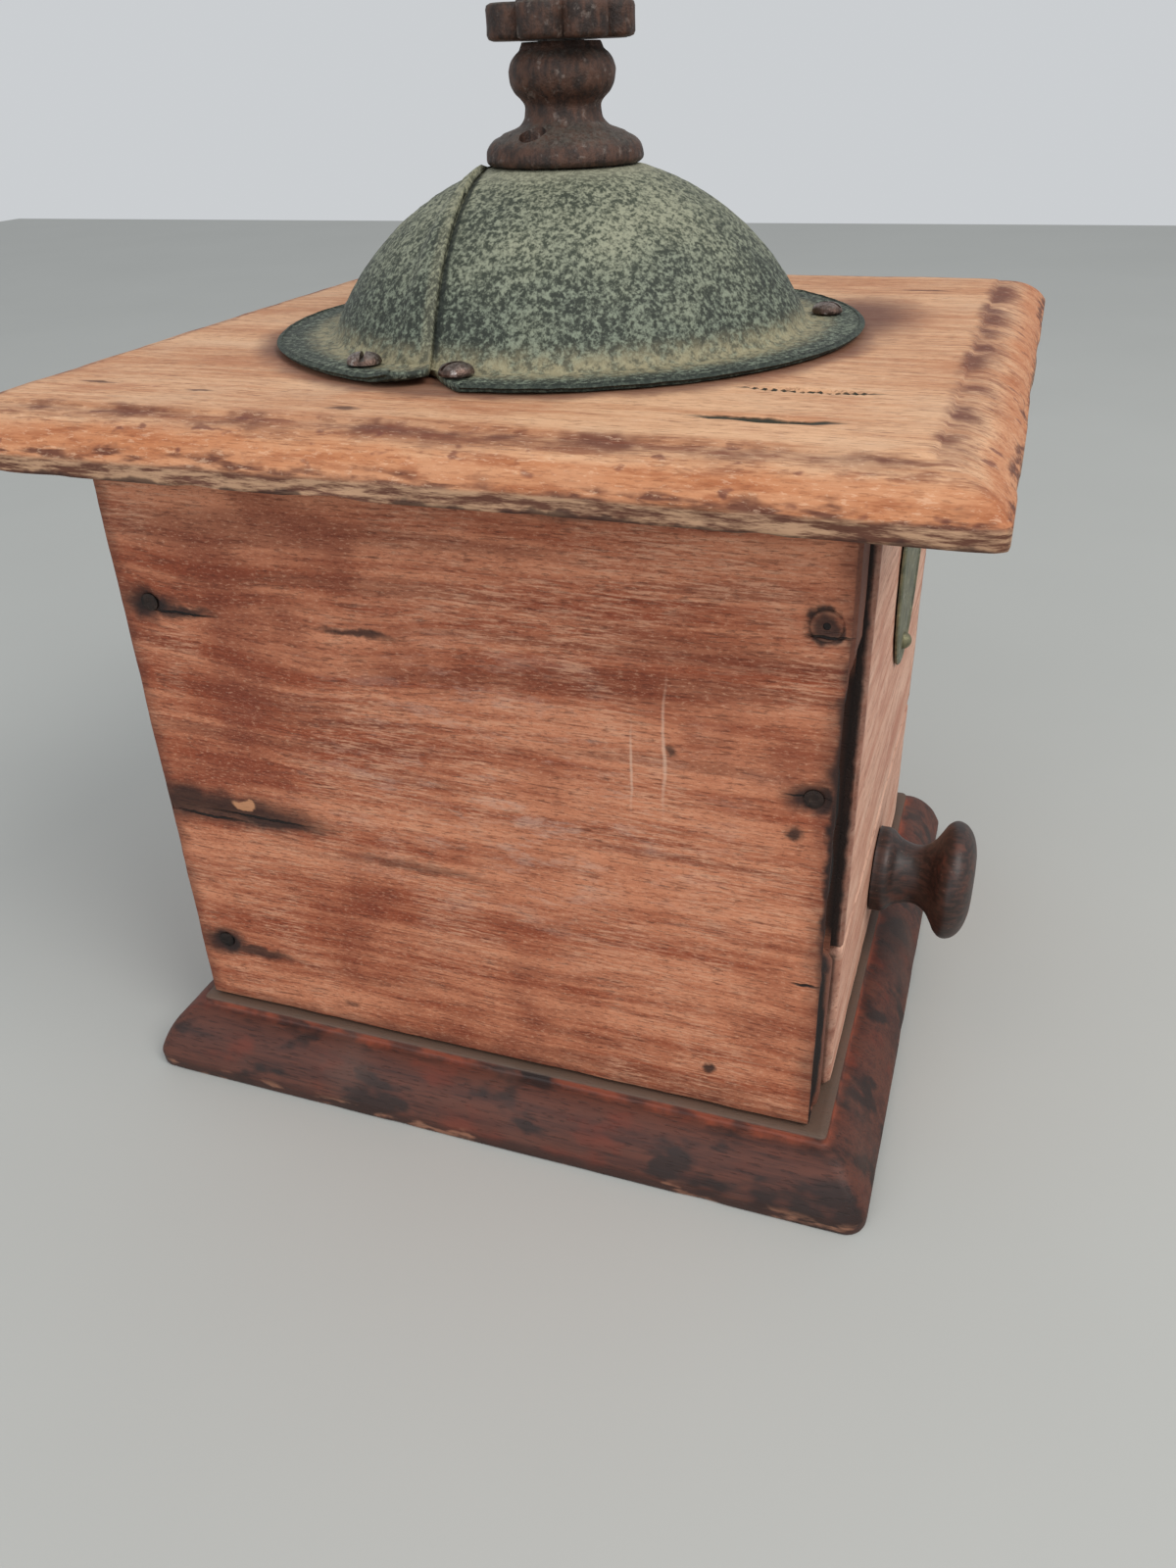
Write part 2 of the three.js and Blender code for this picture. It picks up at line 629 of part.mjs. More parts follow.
// ---- Bean bowl: a cast funnel in the hole of the board, its flange inside the foot of the dome
const burrTopRadius = burrRadius - 1.6;
const ringBoreTop = burrTopRadius + burrGap + 0.4;
const ringOuter = burrRadius + burrGap + burrRingWall;
const throatRadius = ringOuter + seatGap;
const bowlBody = throatRadius + bowlWall;
const bowlFlange = ballAt(domeInner, seatGap + bowlWall * 0.5) - 1.2;
const bowlFlangeTop = seatGap + bowlWall * 0.5;
const lipTop = flangeTop + 4;
const burrRingTop = -bowlDepth + burrHeight;
const ledge = burrRingTop + seatGap;
const bowlLug = bowlBody + 6;
const bowlFoot = 3;
const bowlMouth = bowlHoleRadius - bowlWall - 1;
const bowlOutline = [
  [bowlFlange, seatGap],
  [bowlFlange, bowlFlangeTop],
  [ballAt(guideRadius, doorBottom), bowlFlangeTop],
  [ballAt(guideRadius, lipTop), lipTop],
  [ballAt(guideRadius, lipTop) - 1.2, lipTop],
  [ballAt(guideRadius, doorBottom) - 1.4, bowlFlangeTop],
  [bowlMouth + 0.6, bowlFlangeTop],
  [bowlMouth, -1.5],
  [ringBoreTop, ledge + 1.2],
  [ringBoreTop, ledge],
  [throatRadius, ledge],
  [throatRadius, -bowlDepth],
  [bowlLug, -bowlDepth],
  [bowlLug, bowlFoot - bowlDepth],
  [bowlBody, bowlFoot - bowlDepth],
  [bowlBody, ledge],
  [bowlHoleRadius - 0.8, -5],
  [bowlHoleRadius - 0.8, seatGap],
];
const bridgeScrewCircle = (bowlBody + bowlLug) / 2;
const bridgeScrewHole = bridgeScrewRadius + seatGap;
const bridgeSpots = [1, -1].map((side) => [0, side * bridgeScrewCircle]);
let bowl = turned(bowlOutline, 32);
for (const [x, y] of bridgeSpots) {
  bowl = bowl.subtract(rod(bridgeScrewHole, -bowlDepth - 1, bowlFoot + 1 - bowlDepth, 10).translate([x, y, 0]));
}
for (const angle of bowlScrewAngles) {
  const hole = rod(bowlScrewRadius + seatGap, seatGap - 1, bowlFlangeTop + 1, 8);
  bowl = bowl.subtract(hole.translate([...onCircle(bowlScrewCircle, angle), 0]));
}
add(hopper, "bean_bowl", bowl, castIron);
bowlScrewAngles.forEach((angle, i) => {
  const screw = roundScrew(bowlScrewRadius, bowlScrewHead, bowlScrewLength, 10);
  const place = [...onCircle(bowlScrewCircle, angle), bowlFlangeTop + seatGap];
  add(hopper, `bowl_screw_${i + 1}`, screw.translate(place), steel);
});

// ---- Fixed burr ring: fluted inside, with a flange under the bowl
const ringFlange = 3;
const ringBottom = -bowlDepth - seatGap - ringFlange;
const ringHeight = burrRingTop - ringBottom;
const coneSlope = 0.28; // radius gained per millimetre of drop in the finishing ring
const finishing = 6; // height of the finishing ring at the foot
const ringLowRadius = burrRadius + burrGap;

function flutedBore() {
  const rings = [];
  const levels = [ringBottom - 1, ringBottom, ringBottom + finishing, burrRingTop, burrRingTop + 1];
  for (const level of levels) {
    const up = THREE.MathUtils.clamp(level - ringBottom, 0, ringHeight);
    const tight = ringLowRadius - coneSlope * Math.min(up, finishing);
    const teeth = up >= finishing ? 1.6 * ((up - finishing) / (ringHeight - finishing)) : 0;
    const ring = [];
    for (let i = 0; i < 2 * burrFlutes; i += 1) {
      const angle = (Math.PI * i) / burrFlutes + up * 0.02;
      const radius = tight + (i % 2 ? teeth : 0);
      ring.push([radius * Math.cos(angle), radius * Math.sin(angle), level]);
    }
    rings.push(ring);
  }
  return skin(rings);
}
let burrRing = turned(
  [[0, ringBottom], [bowlLug, ringBottom], [bowlLug, ringBottom + ringFlange],
    [ringOuter, ringBottom + ringFlange], [ringOuter, burrRingTop], [0, burrRingTop]],
  32,
).subtract(flutedBore());
for (const [x, y] of bridgeSpots) {
  const hole = rod(bridgeScrewHole, ringBottom - 1, ringBottom + ringFlange + 1, 10);
  burrRing = burrRing.subtract(hole.translate([x, y, 0]));
}
add(hopper, "burr_ring", burrRing, castIron);

// ---- Lower bridge: a bent strap under the burrs that steadies the end of the spindle
const bridgeTop = ringBottom - seatGap;
const bridgeFloor = bridgeTop - bridgeDrop;
const legOut = bowlLug + 1;
const legIn = bowlBody - 1.5;
const bridgeProfile = [
  [-legOut, bridgeTop],
  [-legOut, bridgeTop - bridgeThickness],
  [-legIn, bridgeTop - bridgeThickness],
  [-legIn + 3, bridgeFloor],
  [legIn - 3, bridgeFloor],
  [legIn, bridgeTop - bridgeThickness],
  [legOut, bridgeTop - bridgeThickness],
  [legOut, bridgeTop],
  [legIn - bridgeThickness, bridgeTop],
  [legIn - bridgeThickness - 2.6, bridgeFloor + bridgeThickness],
  [-legIn + bridgeThickness + 2.6, bridgeFloor + bridgeThickness],
  [-legIn + bridgeThickness, bridgeTop],
];
const spindleFootRadius = 3;
const bridgeHub = 7.5;
let bridge = rotated(plate(bridgeProfile, -bridgeWidth / 2, bridgeWidth / 2), 90, 0, 90);
bridge = bridge.add(rod(bridgeHub, bridgeFloor, bridgeFloor + bridgeThickness + 1.5, 20));
bridge = bridge.subtract(rod(spindleFootRadius + turnClearance, bridgeFloor - 1, bridgeTop, 20));
for (const [x, y] of bridgeSpots) {
  const hole = rod(bridgeScrewHole, bridgeTop - bridgeThickness - 1, bridgeTop + 1, 10);
  bridge = bridge.subtract(hole.translate([x, y, 0]));
}
add(hopper, "lower_bridge", bridge, castIron);
bridgeSpots.forEach(([x, y], i) => {
  const length = bridgeThickness + ringFlange + bowlFoot + 3 * seatGap;
  const screw = rotated(roundScrew(bridgeScrewRadius, screwHeadRadius + 0.6, length, 10), 180, 0, 0);
  add(hopper, `bridge_screw_${i + 1}`, screw.translate([x, y, bridgeTop - bridgeThickness - seatGap]), steel);
});

// ---- Spindle and the burr on it
const hubBottom = pillarTop + seatGap + nutThickness + nutBossHeight + liftRoom;
const hubTop = hubBottom + crankHubHeight;
const spindleTop = hubTop + 6.4;
const footReach = bridgeFloor - 3;
const shoulder = bridgeFloor + bridgeThickness + 1.5 + liftRoom;
const squareFoot = hubBottom - seatGap; // stays above the nut when the spindle is at its lowest
const roundTop = hubBottom - seatGap / 2;
const spindleRound = turned(
  [[0, footReach], [spindleFootRadius, footReach], [spindleFootRadius, shoulder], [spindleRadius, shoulder],
    [spindleRadius, roundTop], [0, roundTop]],
  24,
);
const square = crankSquare / 2;
const spindleSquare = block(-square, square, -square, square, squareFoot, hubTop - 0.6);
const spindleEnd = rod(spindleEndRadius, hubTop - 1, spindleTop, 16);

const burrBottom = ringBottom + 0.4;
const burrTop = burrBottom + burrHeight;
const burrBore = spindleRadius + seatGap;
const burrPinRadius = 1.2;
const burrPinHeight = burrTop - 3.5;
const alongX = (body, height) => rotated(body, 0, 90, 0).translate([0, 0, height]);
const burrNeck = spindleRadius + 3.4;

function coneBurr() {
  const rings = [];
  const steps = 5;
  for (let k = 0; k <= steps + 1; k += 1) {
    const up = k === 0 ? 0 : finishing + ((burrHeight - finishing) * (k - 1)) / steps;
    const low = burrRadius - coneSlope * Math.min(up, finishing);
    const climb = Math.max(0, up - finishing) / (burrHeight - finishing);
    const crest = THREE.MathUtils.lerp(low, burrNeck + 2, climb);
    const valley = THREE.MathUtils.lerp(low - 0.2, burrNeck, Math.min(1, climb * 1.2));
    const ring = [];
    for (let i = 0; i < 2 * burrFlutes; i += 1) {
      const angle = (Math.PI * i) / burrFlutes + up * 0.05;
      const radius = i % 2 ? valley : crest;
      ring.push([radius * Math.cos(angle), radius * Math.sin(angle), burrBottom + up]);
    }
    rings.push(ring);
  }
  return skin(rings);
}
const pinHole = alongX(rod(burrPinRadius + seatGap, -burrNeck * 2, burrNeck * 2, 8), burrPinHeight);
const innerBurr = coneBurr().subtract(rod(burrBore, burrBottom - 1, burrTop + 1, 20)).subtract(pinHole);
const spindle = spindleRound.add(spindleSquare).add(spindleEnd).subtract(pinHole);
add(hopper, "spindle", spindle, steel);
add(hopper, "inner_burr", innerBurr, castIron);
const burrPinHalf = burrNeck + 0.8;
add(hopper, "burr_pin", alongX(rod(burrPinRadius, -burrPinHalf, burrPinHalf, 8), burrPinHeight), steel);

// ---- Thrust washer and lobed adjusting nut on top of the pillar
const washerRadius = neckRadius - 0.4;
const washerThickness = 1;
const washerTop = pillarTop + seatGap + washerThickness;
const nutBottom = pillarTop + seatGap;
const nutTop = nutBottom + nutThickness;
const washer = turned(
  [[spindleRadius + turnClearance, nutBottom], [washerRadius, nutBottom],
    [washerRadius, washerTop], [spindleRadius + turnClearance, washerTop]],
  24,
);
add(hopper, "thrust_washer", washer, steel);

// The nut's edge: round lobes with hollows between them.
function lobedOutline() {
  const points = [];
  const perLobe = 6;
  for (let i = 0; i < nutLobes * perLobe; i += 1) {
    const angle = (2 * Math.PI * i) / (nutLobes * perLobe);
    const wave = Math.abs(Math.cos((nutLobes * angle) / 2));
    points.push(onCircle(nutRadius - 2.3 * (1 - wave) ** 1.5, THREE.MathUtils.radToDeg(angle)));
  }
  return points;
}
const nutRecess = washerTop + seatGap;
const adjustingNut = plate(lobedOutline(), nutBottom, nutTop)
  .add(rod(nutBossRadius, nutTop - 1, nutTop + nutBossHeight, 24))
  .subtract(rod(washerRadius + seatGap, nutBottom - 1, nutRecess, 24))
  .subtract(rod(spindleRadius + turnClearance, nutBottom - 1, nutTop + nutBossHeight + 1, 24));
add(hopper, "adjusting_nut", adjustingNut, brownedIron);

// ---- Crank, in a frame at the underside of its hub, pointing to +X
const crank = group(0, 0, hubBottom, hopper);
const armLow = 1.4;
const padHeight = armLow + crankRise;
const padRadius = 8;

function crankStrap() {
  const route = new THREE.CatmullRomCurve3([
    new THREE.Vector3(crankHubRadius * 0.5, 0, armLow),
    new THREE.Vector3(crankRadius * 0.2, 0, armLow + 0.6),
    new THREE.Vector3(crankRadius * 0.42, 0, armLow + crankRise * 0.42),
    new THREE.Vector3(crankRadius * 0.66, 0, armLow + crankRise * 0.86),
    new THREE.Vector3(crankRadius * 0.84, 0, padHeight),
    new THREE.Vector3(crankRadius, 0, padHeight),
  ]);
  const steps = 12;
  const rings = [];
  for (let i = 0; i <= steps; i += 1) {
    const share = i / steps;
    const middle = route.getPoint(share);
    const along = route.getTangent(share);
    const up = new THREE.Vector3(-along.z, 0, along.x);
    const half = THREE.MathUtils.lerp(6.5, 4.6, Math.sin(Math.PI * Math.min(1, share * 1.1) * 0.5));
    const ring = [
      [-half, 0], [-half, crankThickness], [half, crankThickness], [half, 0],
    ].map(([side, rise]) => [middle.x + up.x * rise, side, middle.z + up.z * rise]);
    rings.push(ring);
  }
  return skin(rings);
}
const squareHole = square + seatGap;
const knobPinHole = rod(knobPinRadius + seatGap, padHeight - 1, padHeight + crankThickness + 1, 16);
const crankArm = crankStrap()
  .add(rod(crankHubRadius, 0, crankHubHeight, 28))
  .add(rod(padRadius, padHeight, padHeight + crankThickness, 24).translate([crankRadius, 0, 0]))
  .subtract(block(-squareHole, squareHole, -squareHole, squareHole, -1, crankHubHeight + 1))
  .subtract(knobPinHole.translate([crankRadius, 0, 0]));
add(crank, "crank_arm", crankArm, brownedIron);

const capNutRadius = 6;
const capNutHeight = 4.6;
const hexagon = arc(0, 0, capNutRadius, 0, 300, 5);
const capNutFoot = crankHubHeight + seatGap;
const capNutShoulder = capNutFoot + capNutHeight;
const domeOfNut = arc(0, 0, capNutRadius * 0.82, 0, 90, 4).map(([r, h]) => [r, capNutShoulder + h * 0.75]);
const domeFoot = capNutShoulder - 0.5;
const capNut = plate(hexagon, capNutFoot, capNutShoulder)
  .add(turned([[0, domeFoot], [capNutRadius * 0.82, domeFoot], ...domeOfNut], 20))
  .subtract(rod(spindleEndRadius + seatGap, capNutFoot - 1, spindleTop - hubBottom + seatGap, 16));
add(crank, "crank_cap_nut", capNut, steel);

// ---- Wooden handle that spins on a riveted pin
const handle = group(crankRadius, 0, padHeight + crankThickness, crank);
const handleFoot = turnClearance + 0.3;
const handleBore = knobPinRadius + turnClearance;
const handlePinHead = 4;
const handleSink = 3.4;
function handleOutline() {
  const waist = handleRadius * 0.56;
  const side = new THREE.SplineCurve([
    new THREE.Vector2(waist + 1, handleFoot),
    new THREE.Vector2(waist + 1.6, handleFoot + 2),
    new THREE.Vector2(waist, handleFoot + 6),
    new THREE.Vector2(handleRadius * 0.84, handleLength * 0.42),
    new THREE.Vector2(handleRadius, handleLength * 0.68),
    new THREE.Vector2(handleRadius * 0.82, handleLength * 0.9),
    new THREE.Vector2(handleRadius * 0.46, handleLength),
  ]);
  const points = side.getPoints(10).map((p) => [p.x, p.y]);
  const rim = handlePinHead + turnClearance + 0.3;
  return [
    [handleBore, handleFoot],
    ...points,
    [rim, handleLength],
    [rim, handleLength - handleSink],
    [handleBore, handleLength - handleSink],
  ];
}
add(handle, "crank_knob", turned(handleOutline(), 24), darkWood);
const pinTail = -crankThickness - seatGap;
const pinHeadFoot = handleLength - handleSink + turnClearance;
const knobPin = turned(
  [[0, pinTail - 1.8], [knobPinRadius + 0.8, pinTail - 1.4], [knobPinRadius + 1.4, pinTail],
    [knobPinRadius, pinTail], [knobPinRadius, pinHeadFoot], [handlePinHead, pinHeadFoot],
    [handlePinHead * 0.8, pinHeadFoot + 1.8], [0, pinHeadFoot + 2.4]],
  16,
);
add(handle, "knob_pin", knobPin, steel);

export default mill;
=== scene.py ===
# %% [markdown]
# # A wooden box coffee mill
# The mill is a nailed beech box with a drawer, a lapped sheet-iron dome over the bean bowl, a turned
# pillar with a lobed nut, and a crank. The CAD frame already holds every size, place and joint, so this
# script only adds looks: it reads sizes from the frame and builds finer pieces in the same places.

# %% Load the frame
import math
from itertools import product

import bpy
import numpy as np
from mathutils import Matrix, Vector


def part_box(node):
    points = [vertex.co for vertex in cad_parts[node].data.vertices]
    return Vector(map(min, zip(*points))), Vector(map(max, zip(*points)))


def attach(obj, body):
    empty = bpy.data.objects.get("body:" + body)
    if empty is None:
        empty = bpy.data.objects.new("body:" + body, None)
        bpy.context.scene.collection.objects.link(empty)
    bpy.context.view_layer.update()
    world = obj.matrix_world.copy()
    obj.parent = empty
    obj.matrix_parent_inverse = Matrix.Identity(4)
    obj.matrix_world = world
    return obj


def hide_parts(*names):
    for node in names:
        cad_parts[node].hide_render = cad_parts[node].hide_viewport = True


MM = 0.001
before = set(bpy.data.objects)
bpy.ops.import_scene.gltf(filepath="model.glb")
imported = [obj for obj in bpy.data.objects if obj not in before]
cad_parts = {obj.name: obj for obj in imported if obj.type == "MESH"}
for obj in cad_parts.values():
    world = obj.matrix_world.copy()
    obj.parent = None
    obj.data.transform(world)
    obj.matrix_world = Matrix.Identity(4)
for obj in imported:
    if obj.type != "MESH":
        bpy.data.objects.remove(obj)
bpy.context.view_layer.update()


def box_of(node):
    """Lowest and highest corner of a CAD node, in millimetres."""
    low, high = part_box(node)
    return np.array(low) / MM, np.array(high) / MM


# %% [markdown]
# ## Camera
# A camera is easiest to set from the way it looks: how far it is turned, tipped and rolled. From those
# three angles come its three axes, and they are the columns of its rotation matrix.

# %% Camera
turn, tip, lean = (math.radians(angle) for angle in (69.78, 30.70, 1.98))
forward = Vector((math.sin(turn) * math.cos(tip), math.cos(turn) * math.cos(tip), -math.sin(tip)))
level = forward.cross(Vector((0, 0, 1))).normalized()
down = forward.cross(level)
across = level * math.cos(lean) + down * math.sin(lean)
upward = level * math.sin(lean) - down * math.cos(lean)
camera = bpy.data.objects.new("camera", bpy.data.cameras.new("camera"))
bpy.context.scene.collection.objects.link(camera)
camera.data.lens = 27.74
camera.data.sensor_width = 36
camera.data.clip_start = 0.01
camera.matrix_world = Matrix(
    [[across[k], upward[k], -forward[k], place] for k, place in enumerate((-0.22549, -0.08332, 0.18473))]
    + [[0, 0, 0, 1]]
)
bpy.context.scene.camera = camera
print("camera looks along", [round(part, 3) for part in forward])

# %% [markdown]
# ## Writing shader maths as Python
# A material is a net of nodes, and wiring many of them by hand is hard to read. This class wraps one
# socket. Adding, subtracting or multiplying wrapped sockets adds the Math node that does it, so a mask
# such as `1 - rust * 0.5` reads as it would on paper. Colours go through Mix and vectors through Vector
# Math, because a Math node would turn a colour grey.

# %% The class that wraps a socket
class Shade:
    """A socket of a material. Python's operators on it add the nodes that work out the result."""

    def __init__(self, tree, socket=None):
        self.tree = tree
        self.socket = socket

    def node(self, kind, settings=None, sockets=None, output=0):
        """Adds a node: its settings come first, then the values or links of its sockets."""
        made = self.tree.nodes.new("ShaderNode" + kind)
        for name, value in (settings or {}).items():
            setattr(made, name, value)
        for name, value in (sockets or {}).items():
            if isinstance(value, Shade):
                self.tree.links.new(value.socket, made.inputs[name])
            else:
                made.inputs[name].default_value = value
        return Shade(self.tree, made.outputs[output])

    def join(self, operation, first, second):
        kinds = {part.socket.type for part in (first, second) if isinstance(part, Shade)}
        if "RGBA" in kinds:
            settings = {"data_type": "RGBA", "blend_type": operation}
            first, second = (grey(part) for part in (first, second))
            return self.node("Mix", settings, {0: 1.0, 6: first, 7: second}, 2)
        if "VECTOR" in kinds:
            first, second = (even(part) for part in (first, second))
            return self.node("VectorMath", {"operation": operation}, {0: first, 1: second})
        return self.node("Math", {"operation": operation}, {0: first, 1: second})

    def __add__(self, other):
        return self.join("ADD", self, other)

    def __radd__(self, other):
        return self.join("ADD", other, self)

    def __sub__(self, other):
        return self.join("SUBTRACT", self, other)

    def __rsub__(self, other):
        return self.join("SUBTRACT", other, self)

    def __mul__(self, other):
        return self.join("MULTIPLY", self, other)

    def __rmul__(self, other):
        return self.join("MULTIPLY", other, self)

    def __truediv__(self, other):
        return self.join("DIVIDE", self, other)

    def most(self, other):
        """The larger of two values, which joins two masks."""
        return self.join("MAXIMUM", self, other)

    def step(self, low, high):
        """0 at low, 1 at high, with a smooth change between them. Low may be the larger."""
        settings = {"interpolation_type": "SMOOTHSTEP"}
        return self.node("MapRange", settings, {"Value": self, "From Min": low, "From Max": high})

    def size(self):
        """The value without its sign."""
        return self.node("Math", {"operation": "ABSOLUTE"}, {0: self})

    def part(self, axis):
        """The X, Y or Z part of a vector."""
        return self.node("SeparateXYZ", None, {0: self}, axis)

    def length(self):
        """The length of a vector."""
        return self.node("VectorMath", {"operation": "LENGTH"}, {0: self}, "Value")


def grey(part):
    """A number as a colour; a socket stays as it is."""
    return (part, part, part, 1.0) if isinstance(part, (int, float)) else part


def even(part):
    """A number as a vector; a socket stays as it is."""
    return (part, part, part) if isinstance(part, (int, float)) else part


print("a Shade adds Math nodes for + - * and /, as in a half grey:", grey(0.5))

# %% [markdown]
# ## Masks
# Nearly every stain, worn edge and patch of dust is a mask: a number from 0 to 1 for each place. A few
# small functions make masks from noise, from a spot or from a distance, and blend colours by them.

# %% Colours, blends and noise
def paint(red, green, blue):
    """A colour given as 0 to 255, as in a paint program, turned into the linear light Blender works in."""
    linear = [((c / 255 + 0.055) / 1.055) ** 2.4 if c > 10 else c / 255 / 12.92 for c in (red, green, blue)]
    return (*linear, 1.0)


def blend(base, over, amount):
    """The base colour, covered by the over colour where amount is 1."""
    tree = next(part for part in (amount, base, over) if isinstance(part, Shade))
    return tree.node("Mix", {"data_type": "RGBA"}, {0: amount, 6: base, 7: over}, 2)


def cloud(at, size, detail=2.0, rough=0.55):
    """Noise from 0 to 1. Size is how many millimetres one bump takes, or one size for each axis."""
    sizes = size if isinstance(size, (tuple, list)) else (size,) * 3
    sockets = {"Vector": at / tuple(sizes), "Scale": 1.0, "Detail": detail, "Roughness": rough}
    return at.node("TexNoise", None, sockets)


def spot(at, centre, radii, soft=0.6):
    """A mask that is 1 in the middle of an ellipsoid and 0 from its edge outwards."""
    away = (at - tuple(centre)) / tuple(radii)
    return away.length().step(1.0, 1.0 - soft)


def any_of(masks):
    """One mask, as large as the largest of several."""
    joined, *others = masks
    for mask in others:
        joined = joined.most(mask)
    return joined


def ragged(at, amount, size):
    """The place, pushed about by noise, so that a mask made from it has an uneven edge."""
    sockets = {"Vector": at / size, "Scale": 1.0, "Detail": 2.0}
    push = at.node("TexNoise", None, sockets, 1)
    centred = at.node("VectorMath", {"operation": "SUBTRACT"}, {0: push, 1: (0.5, 0.5, 0.5)})
    return at + centred * (2 * amount)


def start_material(name):
    """A new material, its Principled shader, and the place on the piece in millimetres."""
    made = bpy.data.materials.new(name)
    made.use_nodes = True
    at = Shade(made.node_tree).node("TexCoord", None, None, "Object") * (1 / MM)
    return made, made.node_tree.nodes["Principled BSDF"], at


def end_material(shader, colour, rough, height=None, depth=0.1, metal=0.0, gloss=0.5):
    """Wires a colour, a roughness and a height, which is 1 for a bump of depth millimetres, to the shader."""
    tree = colour.tree
    tree.links.new(colour.socket, shader.inputs["Base Color"])
    if isinstance(rough, Shade):
        tree.links.new(rough.socket, shader.inputs["Roughness"])
    else:
        shader.inputs["Roughness"].default_value = rough
    shader.inputs["Metallic"].default_value = metal
    shader.inputs["Specular IOR Level"].default_value = gloss
    if height is not None:
        sockets = {"Height": height, "Distance": depth * MM, "Strength": 1.0}
        bump = colour.node("Bump", None, sockets)
        tree.links.new(bump.socket, shader.inputs["Normal"])


print("mid grey paint in linear light:", [round(part, 3) for part in paint(128, 128, 128)])

# %% [markdown]
# ## Making meshes
# Nearly every piece here is a net of four-sided faces: rings about an axis, or rings round a board. One
# function turns rows of points into faces, and the others only work out where the points go. Wear is
# made by moving the points with repeatable noise, so the chips and dents are real shapes.

# %% Repeatable noise for shapes
def lattice(corner, seed):
    """A repeatable number from 0 to 1 for each whole-numbered place."""
    mixed = np.sin(corner @ np.array([127.1, 311.7, 74.7]) + seed * 17.3) * 43758.5453
    return mixed - np.floor(mixed)


def bumps(points, size, seed=0):
    """Smooth noise from -1 to 1. Size is how many millimetres one bump takes, or one size for each axis."""
    scaled = np.asarray(points, float) / np.asarray(size, float)
    base = np.floor(scaled)
    share = scaled - base
    share = share * share * (3 - 2 * share)
    total = np.zeros(scaled.shape[:-1])
    for corner in product((0, 1), repeat=3):
        corner = np.array(corner)
        weight = np.where(corner == 1, share, 1 - share).prod(-1)
        total += weight * lattice(base + corner, seed)
    return 2 * total - 1


def smooth(value, low, high):
    """0 at low, 1 at high, with a smooth change between them."""
    share = np.clip((np.asarray(value, float) - low) / (high - low), 0, 1)
    return share * share * (3 - 2 * share)


print("halfway up a smooth step:", float(smooth(5, 0, 10)))

# %% [markdown]
# ## Nets
# Rows of points become a net when each is joined to the next by four-sided faces. A turned piece is the
# same net with rings for rows, so one function serves the knobs, the screws and the moulded boards.

# %% Faces from rows of points
def net(rows, closed=True, wrapped=False, caps=(False, False)):
    """Points and faces over rows of points. closed joins the ends of each row, wrapped joins the last
    row to the first, and caps close the first and last row with a fan."""
    rows = np.asarray(rows, float)
    count, width = rows.shape[:2]
    points = rows.reshape(-1, 3)
    faces = []
    for i in range(count if wrapped else count - 1):
        after = (i + 1) % count
        for j in range(width if closed else width - 1):
            beside = (j + 1) % width
            faces.append((i * width + j, i * width + beside, after * width + beside, after * width + j))
    for cap, row in zip(caps, (0, count - 1)):
        if not cap:
            continue
        middle = len(points)
        points = np.vstack([points, rows[row].mean(0)])
        for j in range(width):
            pair = (row * width + j, row * width + (j + 1) % width)
            faces.append((middle, *(pair if row else pair[::-1])))
    return points, faces


def curve(corners, step=0.5):
    """Evenly spaced points on a smooth line through the corners (a Catmull-Rom spline)."""
    corners = np.asarray(corners, float)
    padded = np.vstack([2 * corners[0] - corners[1], corners, 2 * corners[-1] - corners[-2]])
    line = []
    for a, b, c, d in zip(padded, padded[1:], padded[2:], padded[3:]):
        for t in np.linspace(0, 1, 24, endpoint=False):
            line.append(0.5 * (2 * b + (c - a) * t + (2 * a - 5 * b + 4 * c - d) * t**2
                               + (3 * b - a - 3 * c + d) * t**3))
    line = np.array(line + [corners[-1]])
    length = np.concatenate([[0], np.cumsum(np.linalg.norm(np.diff(line, axis=0), axis=1))])
    even_steps = np.linspace(0, length[-1], max(2, int(round(length[-1] / step)) + 1))
    return np.stack([np.interp(even_steps, length, line[:, k]) for k in range(line.shape[1])], 1)


def turned_rows(outline, count=96):
    """Rings about the Z axis, one for each (radius, height) point of the outline."""
    outline = np.asarray(outline, float)
    angles = np.linspace(0, 2 * np.pi, count, endpoint=False)
    radius, height = outline[:, :1], outline[:, 1:]
    return np.stack([radius * np.cos(angles), radius * np.sin(angles), height + 0 * angles], -1)


print("a plain disc has", len(net(turned_rows([(0.1, 0), (1, 0)], 12))[1]), "faces")

# %% [markdown]
# ## Adding pieces
# Every piece is added the same way: its points are turned into metres, its sharp edges are marked, and
# the frame is told which body it rides and which CAD pieces it replaces.

# %% Adding a finished piece to the mill
pieces_made = []


def add_piece(name, mesh, material, body, replaced=(), place=None, sharp=40):
    """Makes an object of points in millimetres and faces, gives it a finish, and hands it to the frame."""
    points, faces = mesh
    data = bpy.data.meshes.new(name)
    data.from_pydata((np.asarray(points) * MM).tolist(), [], faces)
    data.validate()
    if place is not None:
        shifted = place.copy()
        shifted.translation = shifted.translation * MM
        data.transform(shifted)
    data.polygons.foreach_set("use_smooth", [True] * len(data.polygons))
    data.set_sharp_from_angle(angle=math.radians(sharp))
    data.materials.append(material)
    piece = bpy.data.objects.new(name, data)
    bpy.context.scene.collection.objects.link(piece)
    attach(piece, body)
    if replaced:
        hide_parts(*replaced)
    pieces_made.append(name)
    return piece


def outward(mesh):
    """The mesh with its faces turned to look outwards, judged by the sign of its volume."""
    points, faces = mesh
    volume = 0.0
    for face in faces:
        a, *others = (points[k] for k in face)
        for b, c in zip(others, others[1:]):
            volume += np.dot(a, np.cross(b, c))
    return (points, faces) if volume > 0 else (points, [face[::-1] for face in faces])


